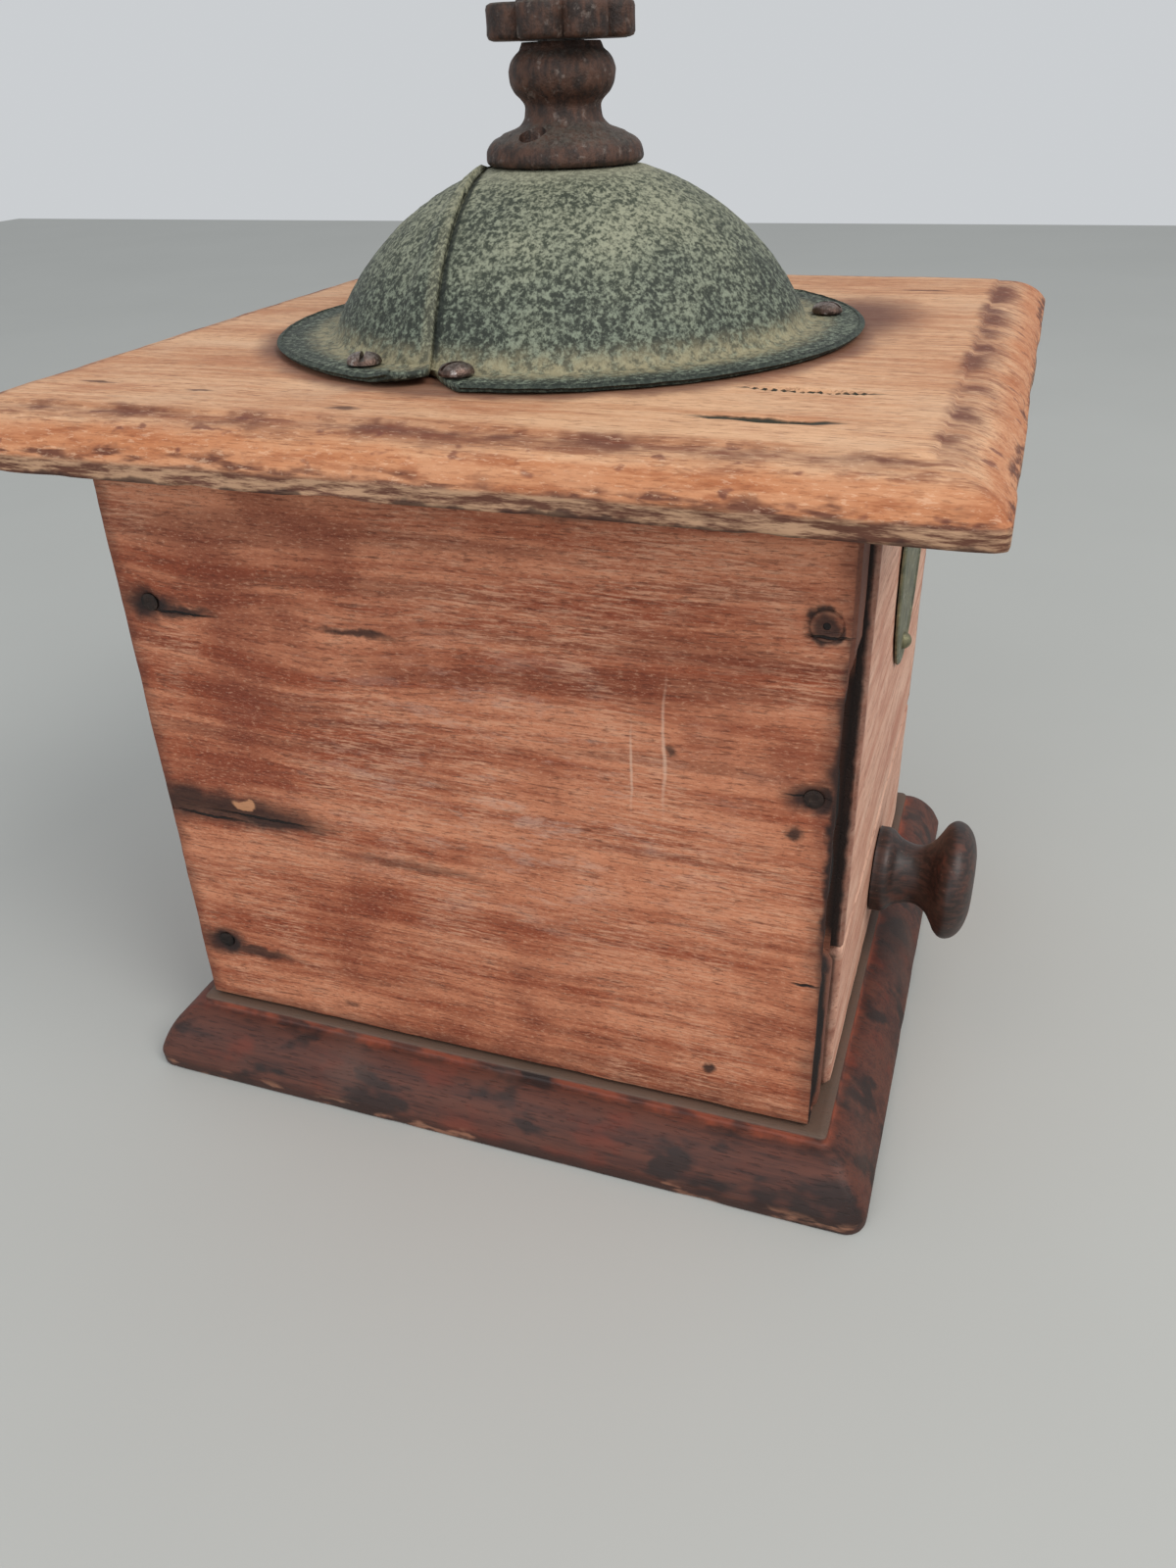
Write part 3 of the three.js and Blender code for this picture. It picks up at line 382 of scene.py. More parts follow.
def carve(piece, *cutters):
    """Cuts other meshes out of a piece and leaves only the result."""
    for cutter in cutters:
        data = bpy.data.meshes.new("cutter")
        points, faces = outward(cutter)
        data.from_pydata((np.asarray(points) * MM).tolist(), [], faces)
        tool = bpy.data.objects.new("cutter", data)
        bpy.context.scene.collection.objects.link(tool)
        cut = piece.modifiers.new("cut", "BOOLEAN")
        cut.operation = "DIFFERENCE"
        cut.solver = "EXACT"
        cut.object = tool
        bpy.context.view_layer.update()
        result = bpy.data.meshes.new_from_object(piece.evaluated_get(bpy.context.evaluated_depsgraph_get()))
        piece.modifiers.clear()
        old, piece.data = piece.data, result
        result.name = piece.name
        bpy.data.objects.remove(tool)
        bpy.data.meshes.remove(old)
    return piece


print("mesh helpers ready, with noise such as", round(float(bumps(np.array([3.0, 4.0, 5.0]), 2)), 3))

# %% [markdown]
# ## Wood
# Beech has straight fibres, short dark flecks and slow changes of tone. All three are noise that is drawn
# out along the grain, at three scales. An image of wood could be used instead, but noise in the piece's
# own space runs through the board like real grain and needs no unwrapping.

# %% Beech with a worn stain
def beech(at, along, pale, brown, dark, drift=0.0):
    """Colour and height of stained beech. along is the axis of the grain: 0 for X, 1 for Y, 2 for Z."""

    def drawn(fine, long, detail):
        sizes = [fine] * 3
        sizes[along] = long
        return cloud(at + drift, sizes, detail, 0.6)

    tone = drawn(9.0, 90.0, 2.0) * 0.5 + drawn(1.7, 34.0, 3.0) * 0.5
    fibre = drawn(0.45, 7.0, 3.0)
    fleck = drawn(0.42, 3.2, 1.0).step(0.60, 0.70)
    colour = blend(brown, pale, tone.step(0.37, 0.62))
    colour = blend(colour, dark, fibre.step(0.50, 0.74) * 0.55)
    colour = blend(colour, dark, fleck * 0.42)
    colour = blend(colour, pale, fibre.step(0.44, 0.28) * 0.40)
    return colour, fibre * -0.5 - fleck * 0.6


def fine_streaks(at):
    """Thin pale streaks along Y, a few millimetres long, where the stain has worn through."""
    return cloud(at, (0.8, 6.0, 0.5), 4.0, 0.7).step(0.46, 0.62)


def near_side(at, axis, side, reach):
    """A mask that is 1 at a plane across an axis and fades to 0 at a reach from it, in millimetres."""
    return (at.part(axis) - side).step(reach, 0.0)


print("wood helpers ready")

# %% [markdown]
# ## Measures shared by finishes and boards
# A stain belongs at a nail and a worn rim at an edge, so finishes need the same measures as the boards.
# They come from the frame, so they stay true to the CAD pieces.

# %% Measures of the box
wall_low, wall_high = box_of("left_side_panel")
right_low, right_high = box_of("right_side_panel")
front_low, front_high = box_of("front_panel")
rear_low, rear_high = box_of("rear_panel")
base_low, base_high = box_of("base_board")
top_low, top_high = box_of("top_board")
face_low, face_high = box_of("drawer_front")
dome_high = box_of("dome_shell")[1]
board_top = top_high[2]
wall_x = wall_low[0]
print("box sides, mm:", wall_high - wall_low, "board top", round(board_top, 1))

# %% [markdown]
# ## The stained side walls
# The left wall has had the hardest life: nail heads with black iron stains, a knot-like scar near the
# rear edge, a plugged hole at the front, and dull scuffs in the middle. Each mark is an ellipsoid mask in
# the wall's own space, pushed about by noise so that its edge is uneven.

# %% Side wall finish
WOOD_GLOSS = 0.35


def side_wood(name, marked):
    """Stained beech with its grain along Y; the marked one also carries the left wall's history."""
    made, shader, at = start_material(name)
    pale, brown, dark = paint(196, 126, 92), paint(144, 70, 42), paint(70, 32, 20)
    bend = spot(at, (wall_x, 30, 98), (30, 52, 34), 0.9) * 6.0 + 3.0
    swirl = at + at.node("CombineXYZ", None, {2: cloud(at, (60.0, 44.0, 30.0), 1.0) * bend})
    colour, height = beech(swirl, 1, pale, brown, dark)
    rings = cloud(swirl, (8.0, 80.0, 5.0), 1.0)
    colour = blend(colour, paint(104, 50, 32), rings.step(0.54, 0.68) * 0.45)
    patch = cloud(at, 26.0, 3.0)
    colour = blend(colour, paint(116, 50, 30), patch.step(0.50, 0.68) * 0.6)
    colour = blend(colour, paint(214, 160, 128), patch.step(0.54, 0.38) * fine_streaks(at) * 0.55)
    scuff = cloud(at, (5.0, 9.0, 2.2), 4.0, 0.7).step(0.50, 0.68)
    middle = spot(at, (wall_x, -8, 76), (30, 62, 44), 0.9)
    colour = blend(colour, paint(196, 164, 146), scuff * middle * 0.42)
    speck = cloud(at, (0.5, 1.3, 0.4), 3.0, 0.75)
    colour = blend(colour, paint(222, 172, 140), speck.step(0.54, 0.68) * 0.35)
    colour = blend(colour, paint(66, 28, 18), speck.step(0.46, 0.34) * 0.40)
    edge = ragged(at, 2.2, 6.0)
    # Painted shade darkens the wall along its top, under the top board, and along its foot by the base; the
    # front and rear edges are darkened too.
    rims = (near_side(edge, 2, wall_high[2], -9.0) * 0.55, near_side(edge, 2, wall_low[2], 4.0) * 0.55,
            near_side(edge, 1, wall_high[1], -4.0) * 0.6, near_side(edge, 1, wall_low[1], 5.0) * 0.5)
    colour = blend(colour, paint(74, 38, 28), any_of(rims))
    rough = 0.62 + patch * 0.2
    if marked:
        colour, cracks = wall_marks(at, colour)
        height = height - cracks * 6.0
    end_material(shader, colour, rough, height, 0.10, gloss=WOOD_GLOSS)
    return made


print("side wall finish ready, gloss", WOOD_GLOSS)

# %% [markdown]
# ## The marks of the left wall
# Iron nails and tannin in damp beech make a black stain that creeps along the grain. Each mark is a place,
# two half lengths and a strength, so the list reads like notes made with a ruler. Painting a mask by hand
# could look as good, but a list is easier to check and to change.

# %% Marks: (Y, Z), half lengths along Y and Z in millimetres, and how strong
IRON_STAINS = (
    ((58, 105), (6.0, 2.2), 1.0), ((53, 104.3), (8.0, 1.1), 0.9), ((59.5, 105), (3.4, 3.2), 0.95),
    ((50, 63.5), (16.0, 3.4), 0.9), ((60, 64), (7.0, 4.0), 0.9), ((41, 62.4), (12.0, 1.6), 0.95),
    ((37, 63.2), (9.0, 2.6), 0.6), ((58.4, 29.6), (5.5, 3.0), 1.0), ((51, 28.6), (9.0, 1.5), 0.85),
    ((46, 63), (17.0, 2.6), 0.9), ((-60.6, 114.1), (2.9, 2.6), 0.9), ((-60.8, 84.9), (5.0, 2.4), 0.95),
    ((-64.6, 78), (1.3, 31.0), 1.0), ((-58, 78.4), (1.6, 1.2), 0.9), ((17, 104.2), (7.0, 0.7), 0.85),
    ((-38, 90), (1.0, 1.0), 0.8), ((-20, 128), (9.0, 1.0), 0.5), ((-45, 24), (1.2, 1.0), 0.9),
    ((30, 20), (2.4, 0.8), 0.6), ((12, 58), (14.0, 1.1), 0.4),
)
THIN_CRACKS = (
    ((55, 61.2), (11.0, 0.35)), ((44, 62.6), (14.0, 0.3)), ((-61.5, 112.6), (4.5, 0.35)),
    ((-60.0, 85.2), (5.0, 0.25)), ((52, 104), (9.0, 0.3)), ((-61.8, 47.6), (3.0, 0.4)),
)
THROUGH = 9  # half length across the wall, so that a mark reaches its face wherever it is dented
plug_middle = sum(box_of("wall_nail_left_front_high")) / 2


def on_wall(at, y, z, along, over, soft):
    """A mark on the left wall's face."""
    return spot(at, (wall_x, y, z), (THROUGH, along, over), soft)


def wall_marks(at, colour):
    """The stains, cracks, scratches and bare chip of the left wall."""
    loose = ragged(ragged(at, 1.6, 5.0), 0.5, 1.3)
    stains = [on_wall(loose, *place, along * 1.4, over * 1.6, 0.7) * strength
              for place, (along, over), strength in IRON_STAINS]
    colour = blend(colour, paint(38, 22, 18), any_of(stains))
    crack_place = ragged(at, 0.4, 2.0)
    cracks = any_of([on_wall(crack_place, *place, *half, 0.7) for place, half in THIN_CRACKS])
    colour = blend(colour, paint(16, 10, 9), cracks)
    plug_at = plug_middle[1:]
    plug_rim = on_wall(loose, *plug_at, 3.3, 3.3, 0.25) - on_wall(at, *plug_at, 2.6, 2.6, 0.2)
    colour = blend(colour, paint(30, 18, 14), plug_rim * 0.9)
    colour = blend(colour, paint(182, 128, 92), on_wall(loose, 46.8, 65.1, 3.0, 1.5, 0.3))
    wavy = ragged(at, 1.0, 9.0)
    scratches = on_wall(wavy, -36.5, 90, 0.5, 16, 0.9).most(on_wall(wavy, -31.0, 86, 0.4, 11, 0.9))
    colour = blend(colour, paint(214, 176, 152), scratches * 0.6)
    return front_edge_marks(at, colour, cracks)


def front_edge_marks(at, colour, cracks):
    """Bare end grain on the wall's front edge, with the hollow and the crack below it painted black as shade.
    """
    end_grain = near_side(at, 1, wall_low[1], 6.0) * (at.part(0) - wall_x).step(-0.05, 0.25)
    colour = blend(colour, paint(98, 58, 44), end_grain * 0.8)
    # Painted shade: the hollow in the torn edge and the crack below it are painted nearly black.
    hollow = spot(ragged(at, 0.8, 3.0), (wall_x + 5, wall_low[1], 78), (9.0, 12.0, 33), 0.1) * end_grain
    split = spot(ragged(at, 0.5, 4.0), (wall_x + 2.4, wall_low[1], 32), (3.8, 12.0, 25), 0.2) * end_grain
    colour = blend(colour, paint(14, 10, 9), hollow.most(split))
    return colour, cracks.most(hollow * 0.2)


left_wood = side_wood("stained_beech_left_wall", True)
plain_side_wood = side_wood("stained_beech_wall", False)
print("side wall finishes:", left_wood.name, plain_side_wood.name)

# %% [markdown]
# ## The paler front
# The front and the drawer's face kept less stain and look pinkish. Their grain runs across, along X.

# %% Front finish
def make_front_wood():
    """Pale, worn beech with its grain along X, dark at its rims and round the knob, with painted shade under
    the top board and in the torn corner.
    """
    made, shader, at = start_material("worn_beech_front")
    colour, height = beech(at, 0, paint(216, 172, 148), paint(188, 132, 108), paint(116, 66, 50), 40.0)
    patch = cloud(at, 18.0, 3.0).step(0.48, 0.72)
    colour = blend(colour, paint(172, 110, 88), patch * 0.5)
    edge = ragged(at, 1.6, 5.0)
    rim = near_side(edge, 0, front_low[0], 2.6).most(near_side(edge, 0, front_high[0], -2.6))
    # Painted shade along the top, under the top board.
    rim = rim.most(near_side(edge, 2, front_high[2], -7.0) * 0.8)
    knob_halo = spot(edge, (0, face_low[1], (face_low[2] + face_high[2]) / 2), (17, 14, 15), 0.8)
    colour = blend(colour, paint(88, 48, 36), rim.most(knob_halo * 0.7) * 0.7)
    # Painted shade: the panel's left side, behind its face, is painted nearly black where the torn wall
    # leaves a hollow.
    shade_behind_face = (ragged(at, 0.6, 3.0).part(1) - front_low[1]).step(0.3, 1.3)
    colour = blend(colour, paint(16, 11, 10), near_side(at, 0, front_low[0], 0.6) * shade_behind_face * 0.95)
    end_material(shader, colour, 0.62, height, 0.08, gloss=WOOD_GLOSS)
    return made


front_wood = make_front_wood()
print("made", front_wood.name)

# %% [markdown]
# ## The top board
# Hands have rubbed the stain off the flat of the top board, so it is tan there. The lower part of the
# moulding is orange, with stain and a painted highlight. Dirt and painted shade keep the valley where the
# moulding starts dark, and painted shade darkens the board round the dome's flange and under the edge.
# Distance from the outer edge tells the finish where it is on the moulding.

# %% Top board finish
MOULDING = 10.4  # width of the moulded edge
FLANGE = dome_high[0]
FLAT = (1.0, 1.0, 0.0)  # times a place, it leaves the place on the floor


def make_top_wood():
    """Rubbed beech with its grain along Y, with dirt and painted shade in the valley, and painted shade round
    the flange and under the edge.
    """
    made, shader, at = start_material("worn_beech_top")
    colour, height = beech(at, 1, paint(216, 170, 132), paint(188, 132, 94), paint(118, 70, 46), 90.0)
    patch = cloud(at, (16.0, 26.0, 16.0), 3.0)
    colour = blend(colour, paint(166, 98, 62), patch.step(0.50, 0.72) * 0.5)
    colour = blend(colour, paint(208, 168, 134), patch.step(0.46, 0.30) * 0.5)
    loose = ragged(ragged(at, 2.4, 9.0), 0.8, 2.2)
    inset = loose.join("MINIMUM", top_high[0] - loose.part(0).size(), top_high[1] - loose.part(1).size())
    valley = inset.step(MOULDING + 1.8, MOULDING - 0.6) * inset.step(MOULDING - 6.5, MOULDING - 2.0)
    # Dirt and painted shade: the valley is darkened all along, and more where the noise is high.
    dirt_and_shade = cloud(at, (9.0, 13.0, 9.0), 3.0).step(0.42, 0.62)
    colour = blend(colour, paint(104, 58, 42), valley * (dirt_and_shade * 0.7 + 0.25))
    smear = cloud(at, (2.6, 11.0, 2.6), 4.0, 0.65).step(0.50, 0.66) * inset.step(12.5, 10.0)
    colour = blend(colour, paint(118, 62, 40), smear * 0.65)
    # Stain and a painted highlight: the lower part of the moulding is painted orange.
    lower = inset.step(5.6, 2.6)
    colour = blend(colour, paint(176, 100, 54), lower * 0.5)
    spots = cloud(at, (3.0, 4.6, 3.0), 2.0).step(0.62, 0.72) * inset.step(12.0, 9.0)
    colour = blend(colour, paint(104, 54, 44), spots * 0.7)
    rim = inset.step(1.4, 0.2) * cloud(at, (3.0, 8.0, 1.2), 3.0).step(0.40, 0.60)
    colour = blend(colour, paint(86, 42, 28), rim * 0.9)
    fresh = cloud(at, (0.6, 2.2, 0.6), 3.0, 0.75)
    colour = blend(colour, paint(110, 62, 42), fresh.step(0.56, 0.68) * 0.30)
    colour = blend(colour, paint(232, 194, 162), fresh.step(0.44, 0.34) * 0.30)
    side = at.part(2).step(top_low[2] + 3.4, top_low[2] + 2.4)
    side_tone = cloud(at, (4.0, 7.0, 0.9), 4.0, 0.7)
    side_colour = blend(paint(176, 138, 108), paint(92, 54, 38), side_tone.step(0.38, 0.60))
    colour = blend(colour, side_colour, side)
    # Painted shade along the underside edge of the board.
    colour = blend(colour, paint(60, 34, 26), near_side(loose, 2, top_low[2], 0.7) * 0.8)
    out = (loose * FLAT).length()
    # Painted shade in a ring round the dome's flange.
    flange_shade = out.step(FLANGE + 5.5, FLANGE + 0.5) * 0.75
    burn = spot(loose, (18, -50, board_top), (34, 17, 9), 0.7) * 0.85
    colour = blend(colour, paint(92, 54, 44), flange_shade.most(burn))
    colour, cuts = top_marks(at, colour)
    end_material(shader, colour, 0.6 + patch * 0.15, height - cuts * 8.0, 0.10, gloss=WOOD_GLOSS)
    return made


# (X, Y) of the middle, and half lengths along X and Y: first the open cuts, then dark spots.
TOP_CUTS = (((-59.1, -49.9), (1.25, 12.2)), ((-41.0, -52.3), (0.8, 12.5)))
TOP_SPOTS = (((-60, 41), (0.8, 3.2)), ((-66, 12), (1.5, 4.0)), ((-58, 62), (1.0, 5.0)),
             ((52, -60), (1.2, 7.0)))


def on_top(at, marks, soft):
    """A mask of marks on the flat of the board."""
    return any_of([spot(at, (*place, board_top), (*half, THROUGH), soft) for place, half in marks])


def top_marks(at, colour):
    """The two long cuts beside the dome and a few dark spots."""
    cuts = on_top(ragged(at, 0.5, 3.0), TOP_CUTS, 0.35)
    spots = on_top(ragged(at, 0.9, 3.0), TOP_SPOTS, 0.7)
    colour = blend(colour, paint(70, 40, 30), spots * 0.8)
    return blend(colour, paint(48, 46, 34), cuts), cuts


top_wood = make_top_wood()
print("made", top_wood.name, "with", len(TOP_CUTS), "cuts")

# %% [markdown]
# ## The dark base
# The base kept its red-brown stain. It is dull and grey with dust on its ledge, scraped to bright red
# along the ledge's rim, and nearly black in patches.

# %% Base finish
def make_base_wood():
    """Dark stained beech, dusty on its ledge, red along the ledge's rim and chipped at the foot."""
    made, shader, at = start_material("dark_stained_base")
    colour, height = beech(at, 1, paint(98, 54, 40), paint(70, 36, 28), paint(30, 18, 15), 20.0)
    patch = cloud(at, (8.0, 16.0, 8.0), 3.0)
    colour = blend(colour, paint(124, 52, 34), patch.step(0.54, 0.70) * 0.5)
    colour = blend(colour, paint(34, 22, 19), patch.step(0.47, 0.36) * 0.85)
    haze = cloud(at, 22.0, 2.0).step(0.5, 0.72)
    colour = blend(colour, paint(104, 78, 68), haze * 0.35)
    loose = ragged(at, 0.5, 3.0)
    ledge = loose.part(2)
    red = ledge.step(12.0, 12.7) * ledge.step(13.9, 13.4) * cloud(at, 7.0, 2.0).step(0.40, 0.60)
    colour = blend(colour, paint(160, 76, 48), red * 0.65)
    dust = at.part(2).step(13.4, 13.9)
    colour = blend(colour, paint(104, 84, 70), dust * 0.8)
    foot = loose.part(2).step(3.6, 1.6)
    worn = cloud(at, (5.0, 9.0, 3.0), 3.0).step(0.55, 0.66)
    colour = blend(colour, blend(paint(60, 38, 32), paint(168, 118, 92), worn), foot * 0.7)
    end_material(shader, colour * 0.84, 0.5 + patch * 0.2, height, 0.08, gloss=0.4)
    return made


base_wood = make_base_wood()
print("made", base_wood.name)

# %% [markdown]
# ## Bare wood inside and dark knobs
# The drawer's box was never stained, so it is plain and a little dusty. The knobs are turned from darker
# wood, and hands have polished red patches on them. Both reuse the same drawn-out noise.


# %% Plain softwood, and dark turned wood
def make_inner_wood():
    """Bare softwood with its grain along X."""
    made, shader, at = start_material("plain_softwood")
    colour, height = beech(at, 0, paint(206, 176, 138), paint(182, 146, 106), paint(132, 92, 62), 60.0)
    dust = cloud(at, 9.0, 3.0).step(0.5, 0.75)
    end_material(shader, blend(colour, paint(110, 74, 52), dust * 0.5), 0.75, height, 0.06)
    return made


def make_turned_wood():
    """Nearly black turned wood, reddish where it is polished."""
    made, shader, at = start_material("dark_turned_wood")
    fibre = cloud(at, (1.4, 5.0, 0.7), 3.0, 0.6)
    worn = cloud(at, 5.0, 3.0)
    colour = blend(paint(40, 28, 24), paint(68, 44, 36), fibre.step(0.40, 0.64))
    colour = blend(colour, paint(104, 54, 36), worn.step(0.54, 0.70) * 0.5)
    dust = cloud(at, (1.0, 1.6, 1.0), 3.0, 0.7).step(0.62, 0.76)
    colour = blend(colour, paint(150, 128, 116), dust * 0.3)
    end_material(shader, colour, 0.38 + worn * 0.25, fibre, 0.08)
    return made


inner_wood, turned_wood = make_inner_wood(), make_turned_wood()
print("wood finishes:", [m.name for m in (front_wood, top_wood, base_wood, inner_wood, turned_wood)])

# %% [markdown]
# ## Green enamel
# The dome's green enamel has shrunk into fine wrinkles. Dust sits on the wrinkles' tops, so light colour
# and height come from the same noise. More dust lies in the corner of the flange, and near the crown dust and
# painted light make it paler; the finish finds both from their distance to the axis. The enamel is also
# painted lighter towards the top, as painted light.

# %% Green wrinkled enamel
DOME_RISE = 27.5  # about the height of the crown above the board
SEAM_SIDE, SEAM_SLOPE = 13.5, 0.127  # the seam's line seen from above: y = side + slope * x


def make_green_paint():
    """Wrinkled enamel, pale on its ridges, with settled dust, painted light towards the top, and a seam."""
    made, shader, at = start_material("green_wrinkled_enamel")
    wrinkle = cloud(at, 1.05, 4.0, 0.66)
    grain = cloud(at, 0.5, 2.0, 0.6)
    patch = cloud(at, (15.0, 15.0, 12.0), 3.0)
    rise = (at.part(2) - board_top) * (1.0 / DOME_RISE)
    ridges = wrinkle * 0.7 + grain * 0.3 + (rise - 0.5) * 0.05 + (patch - 0.5) * 0.16
    raised = ridges.step(0.42, 0.62)
    # Painted light: both greens turn lighter with the height above the board, so the top of the dome reads as
    # lit.
    dark = blend(paint(38, 44, 36), paint(58, 64, 50), (patch * 0.6 + rise * 0.4).step(0.35, 0.70))
    pale = blend(paint(128, 138, 120), paint(158, 158, 134), (patch * 0.5 + rise * 0.5).step(0.3, 0.8))
    colour = blend(dark, pale, raised * 0.85)
    out = (at * FLAT).length()
    low = at.part(2).step(board_top + 6.0, board_top + 1.6)
    corner = out.step(40.5, 44.0) * out.step(50.5, 45.5) * low
    settled = cloud(at, 2.0, 3.0, 0.7).step(0.36, 0.60)
    colour = blend(colour, paint(158, 148, 116), corner * (settled * 0.55 + 0.25))
    rim = out.step(52.4, 54.0)
    colour = blend(colour, paint(36, 46, 38), rim * 0.7)
    # Dust and painted light: the crown round the pillar's foot is painted paler.
    crown = out.step(19.0, 14.0) * at.part(2).step(board_top + 22, board_top + 27)
    colour = blend(colour, paint(158, 156, 134), crown * 0.45)
    lip, line = seam_masks(at)
    # The lip's pale strip is a painted highlight with some dust, and the dark line is a painted shadow of the
    # lip.
    colour = blend(colour, paint(150, 146, 118), lip * (raised * 0.4 + 0.15))
    colour = blend(colour, paint(26, 32, 28), line * 0.8)
    end_material(shader, colour, 0.6 + patch * 0.2, wrinkle + grain * 0.4, 0.32, gloss=0.45)
    return made


def seam_masks(at):
    """A painted highlight with some dust along the lifted lip of the seam, and a painted shadow line beside
    it.
    """
    beside = at.part(1) - at.part(0) * SEAM_SLOPE - SEAM_SIDE
    ahead = at.part(0).step(-8.0, -12.0) * at.part(2).step(board_top + 2.0, board_top + 4.0)
    lip = beside.step(2.8, 1.2) * beside.step(-0.3, 0.3) * ahead
    line = beside.step(-1.3, -0.6) * beside.step(0.2, -0.1) * ahead
    return lip, line


green_paint = make_green_paint()
print("made", green_paint.name)

# %% [markdown]
# ## Iron
# Old iron is dark under brown rust, grey where it is handled, and dusty where it faces up. The pillar,
# the castings, the screws, the nails and the plate differ only in their colours and shine, so one function
# makes them all.


# %% Iron, screws and the plate
def iron(name, dark, brown, worn, dusty, rough, metal):
    """Oxidised iron: brown over dark, grey where it is rubbed, and dusty where it faces up."""
    made, shader, at = start_material(name)
    rust = cloud(at, 3.2, 4.0, 0.65)
    pit = cloud(at, 0.7, 3.0, 0.7)
    streak = cloud(at, (1.0, 1.0, 4.5), 3.0, 0.6)
    colour = blend(dark, brown, (rust * 0.6 + streak * 0.4).step(0.38, 0.62))
    rubbed = cloud(at, 2.2, 3.0, 0.7).step(0.56, 0.72)
    colour = blend(colour, worn, rubbed * 0.55)
    upward_face = at.node("NewGeometry", None, None, "Normal").part(2).step(0.45, 0.95)
    colour = blend(colour, dusty, upward_face * (pit.step(0.35, 0.65) * 0.6 + 0.1))
    end_material(shader, colour, rough - rubbed * 0.18, rust * 0.5 + pit, 0.22, metal)
    return made


browned_iron = iron("browned_iron", paint(44, 34, 30), paint(84, 58, 46), paint(124, 112, 104),
                    paint(100, 94, 86), 0.62, 0.35)
cast_iron = iron("grey_cast_iron", paint(52, 50, 50), paint(78, 66, 58), paint(120, 116, 112),
                 paint(104, 98, 90), 0.6, 0.8)
screw_iron = iron("rusty_screws", paint(70, 56, 50), paint(112, 90, 80), paint(200, 190, 184),
                  paint(160, 148, 140), 0.40, 0.8)
nail_iron = iron("black_nails", paint(24, 18, 16), paint(48, 34, 28), paint(74, 58, 50),
                 paint(60, 48, 42), 0.6, 0.5)
dull_steel = iron("dull_steel", paint(108, 104, 100), paint(134, 126, 118), paint(190, 186, 180),
                  paint(140, 134, 126), 0.4, 0.95)
plate_metal = iron("tarnished_plate", paint(92, 94, 78), paint(132, 128, 100), paint(178, 172, 138),
                   paint(110, 108, 92), 0.5, 0.8)
metals = (browned_iron, cast_iron, screw_iron, nail_iron, dull_steel, plate_metal)
print("metal finishes:", [metal.name for metal in metals])

# %% [markdown]
# ## Boards as worn boxes
# A board is a box with softened edges. Taking each point of a fine box, clamping it to a smaller box
# inside and stepping back out by the edge radius rounds every edge at once. Noise then wears the edges.

# %% A board
def edge_lines(low, high, step):
    """Grid lines between two edges, closer together near both of them."""
    near = [0.0, 0.3, 0.7, 1.2, 1.9]
    middle = np.linspace(low + 2.8, high - 2.8, max(2, int((high - low - 5.6) / step) + 1))
    return np.concatenate([low + np.array(near), middle, high - np.array(near[::-1])])


def board(low, high, radius=0.8, step=1.6, seed=0, shape=None):
    """A worn board between two corners; shape(points, outward) may return points moved further."""
    low, high = np.asarray(low, float), np.asarray(high, float)
    lines = [edge_lines(low[k], high[k], step) for k in range(3)]
    rows, quads = [], []
    total = 0
    for k in range(3):
        i, j = (k + 1) % 3, (k + 2) % 3
        for side, value in ((0, low[k]), (1, high[k])):
            first, second = np.meshgrid(lines[i], lines[j], indexing="ij")
            grid = np.empty(first.shape + (3,))
            grid[..., i], grid[..., j], grid[..., k] = first, second, value
            index = np.arange(first.size).reshape(first.shape) + total
            square = np.stack([index[:-1, :-1], index[1:, :-1], index[1:, 1:], index[:-1, 1:]], -1)
            quads.append(square.reshape(-1, 4)[:, :: (1 if side else -1)])
            rows.append(grid.reshape(-1, 3))
            total += first.size
    points, same = np.unique(np.round(np.vstack(rows), 5), axis=0, return_inverse=True)
    faces = same.reshape(-1)[np.vstack(quads)]
    inner = np.clip(points, low + radius, high - radius)
    away = points - inner
    away /= np.linalg.norm(away, axis=1, keepdims=True)
    on_edge = smooth(np.sort(np.abs(away), axis=1)[:, 1], 0.05, 0.6)
    wear = 0.10 * bumps(points, 9, seed) + 0.05 * bumps(points, 2.5, seed + 1)
    wear -= on_edge * (0.22 + 0.30 * np.maximum(0, bumps(points, 5, seed + 2)))
    moved = inner + away * (radius + np.minimum(wear, 0.1))[:, None]
    if shape is not None:
        moved = shape(moved, away)
    return moved, faces.tolist()


print("a small board has", len(board((0, 0, 0), (4, 4, 4), 1.0, 2.0)[1]), "faces")

# %% [markdown]
# ## Wear that changes the shape
# A bump map can't change an outline, and the torn front edge of the left wall is part of its outline.
# So the dimples, the tear and the splits move the points of the boards themselves.

# %% Changes to the walls' shapes
nail_names = [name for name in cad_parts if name.startswith("wall_nail_")]
nail_spots = {name: sum(box_of(name)) / 2 for name in nail_names}
NAIL_SINK = 0.75
SPLINTERED = (47, 51, 105, 109)  # heights where the left wall's torn front edge begins and ends


def groove(gap, width):
    """1 on a groove's middle line, falling away smoothly to its sides."""
    return np.exp(-((gap / width) ** 2))


def dimple_nails(points, away):
    """Sinks the wood round each nail a little, on the outside of the wall."""
    for name, middle in nail_spots.items():
        outer_side = -1 if "_left_" in name else 1
        if np.sign(points[:, 0].mean()) != outer_side:
            continue
        gap = np.hypot(points[:, 1] - middle[1], points[:, 2] - middle[2])
        sunk = (1 - smooth(gap, 1.4, 3.2)) * (away[:, 0] * outer_side > 0.7)
        points[:, 0] -= outer_side * NAIL_SINK * sunk
    return points


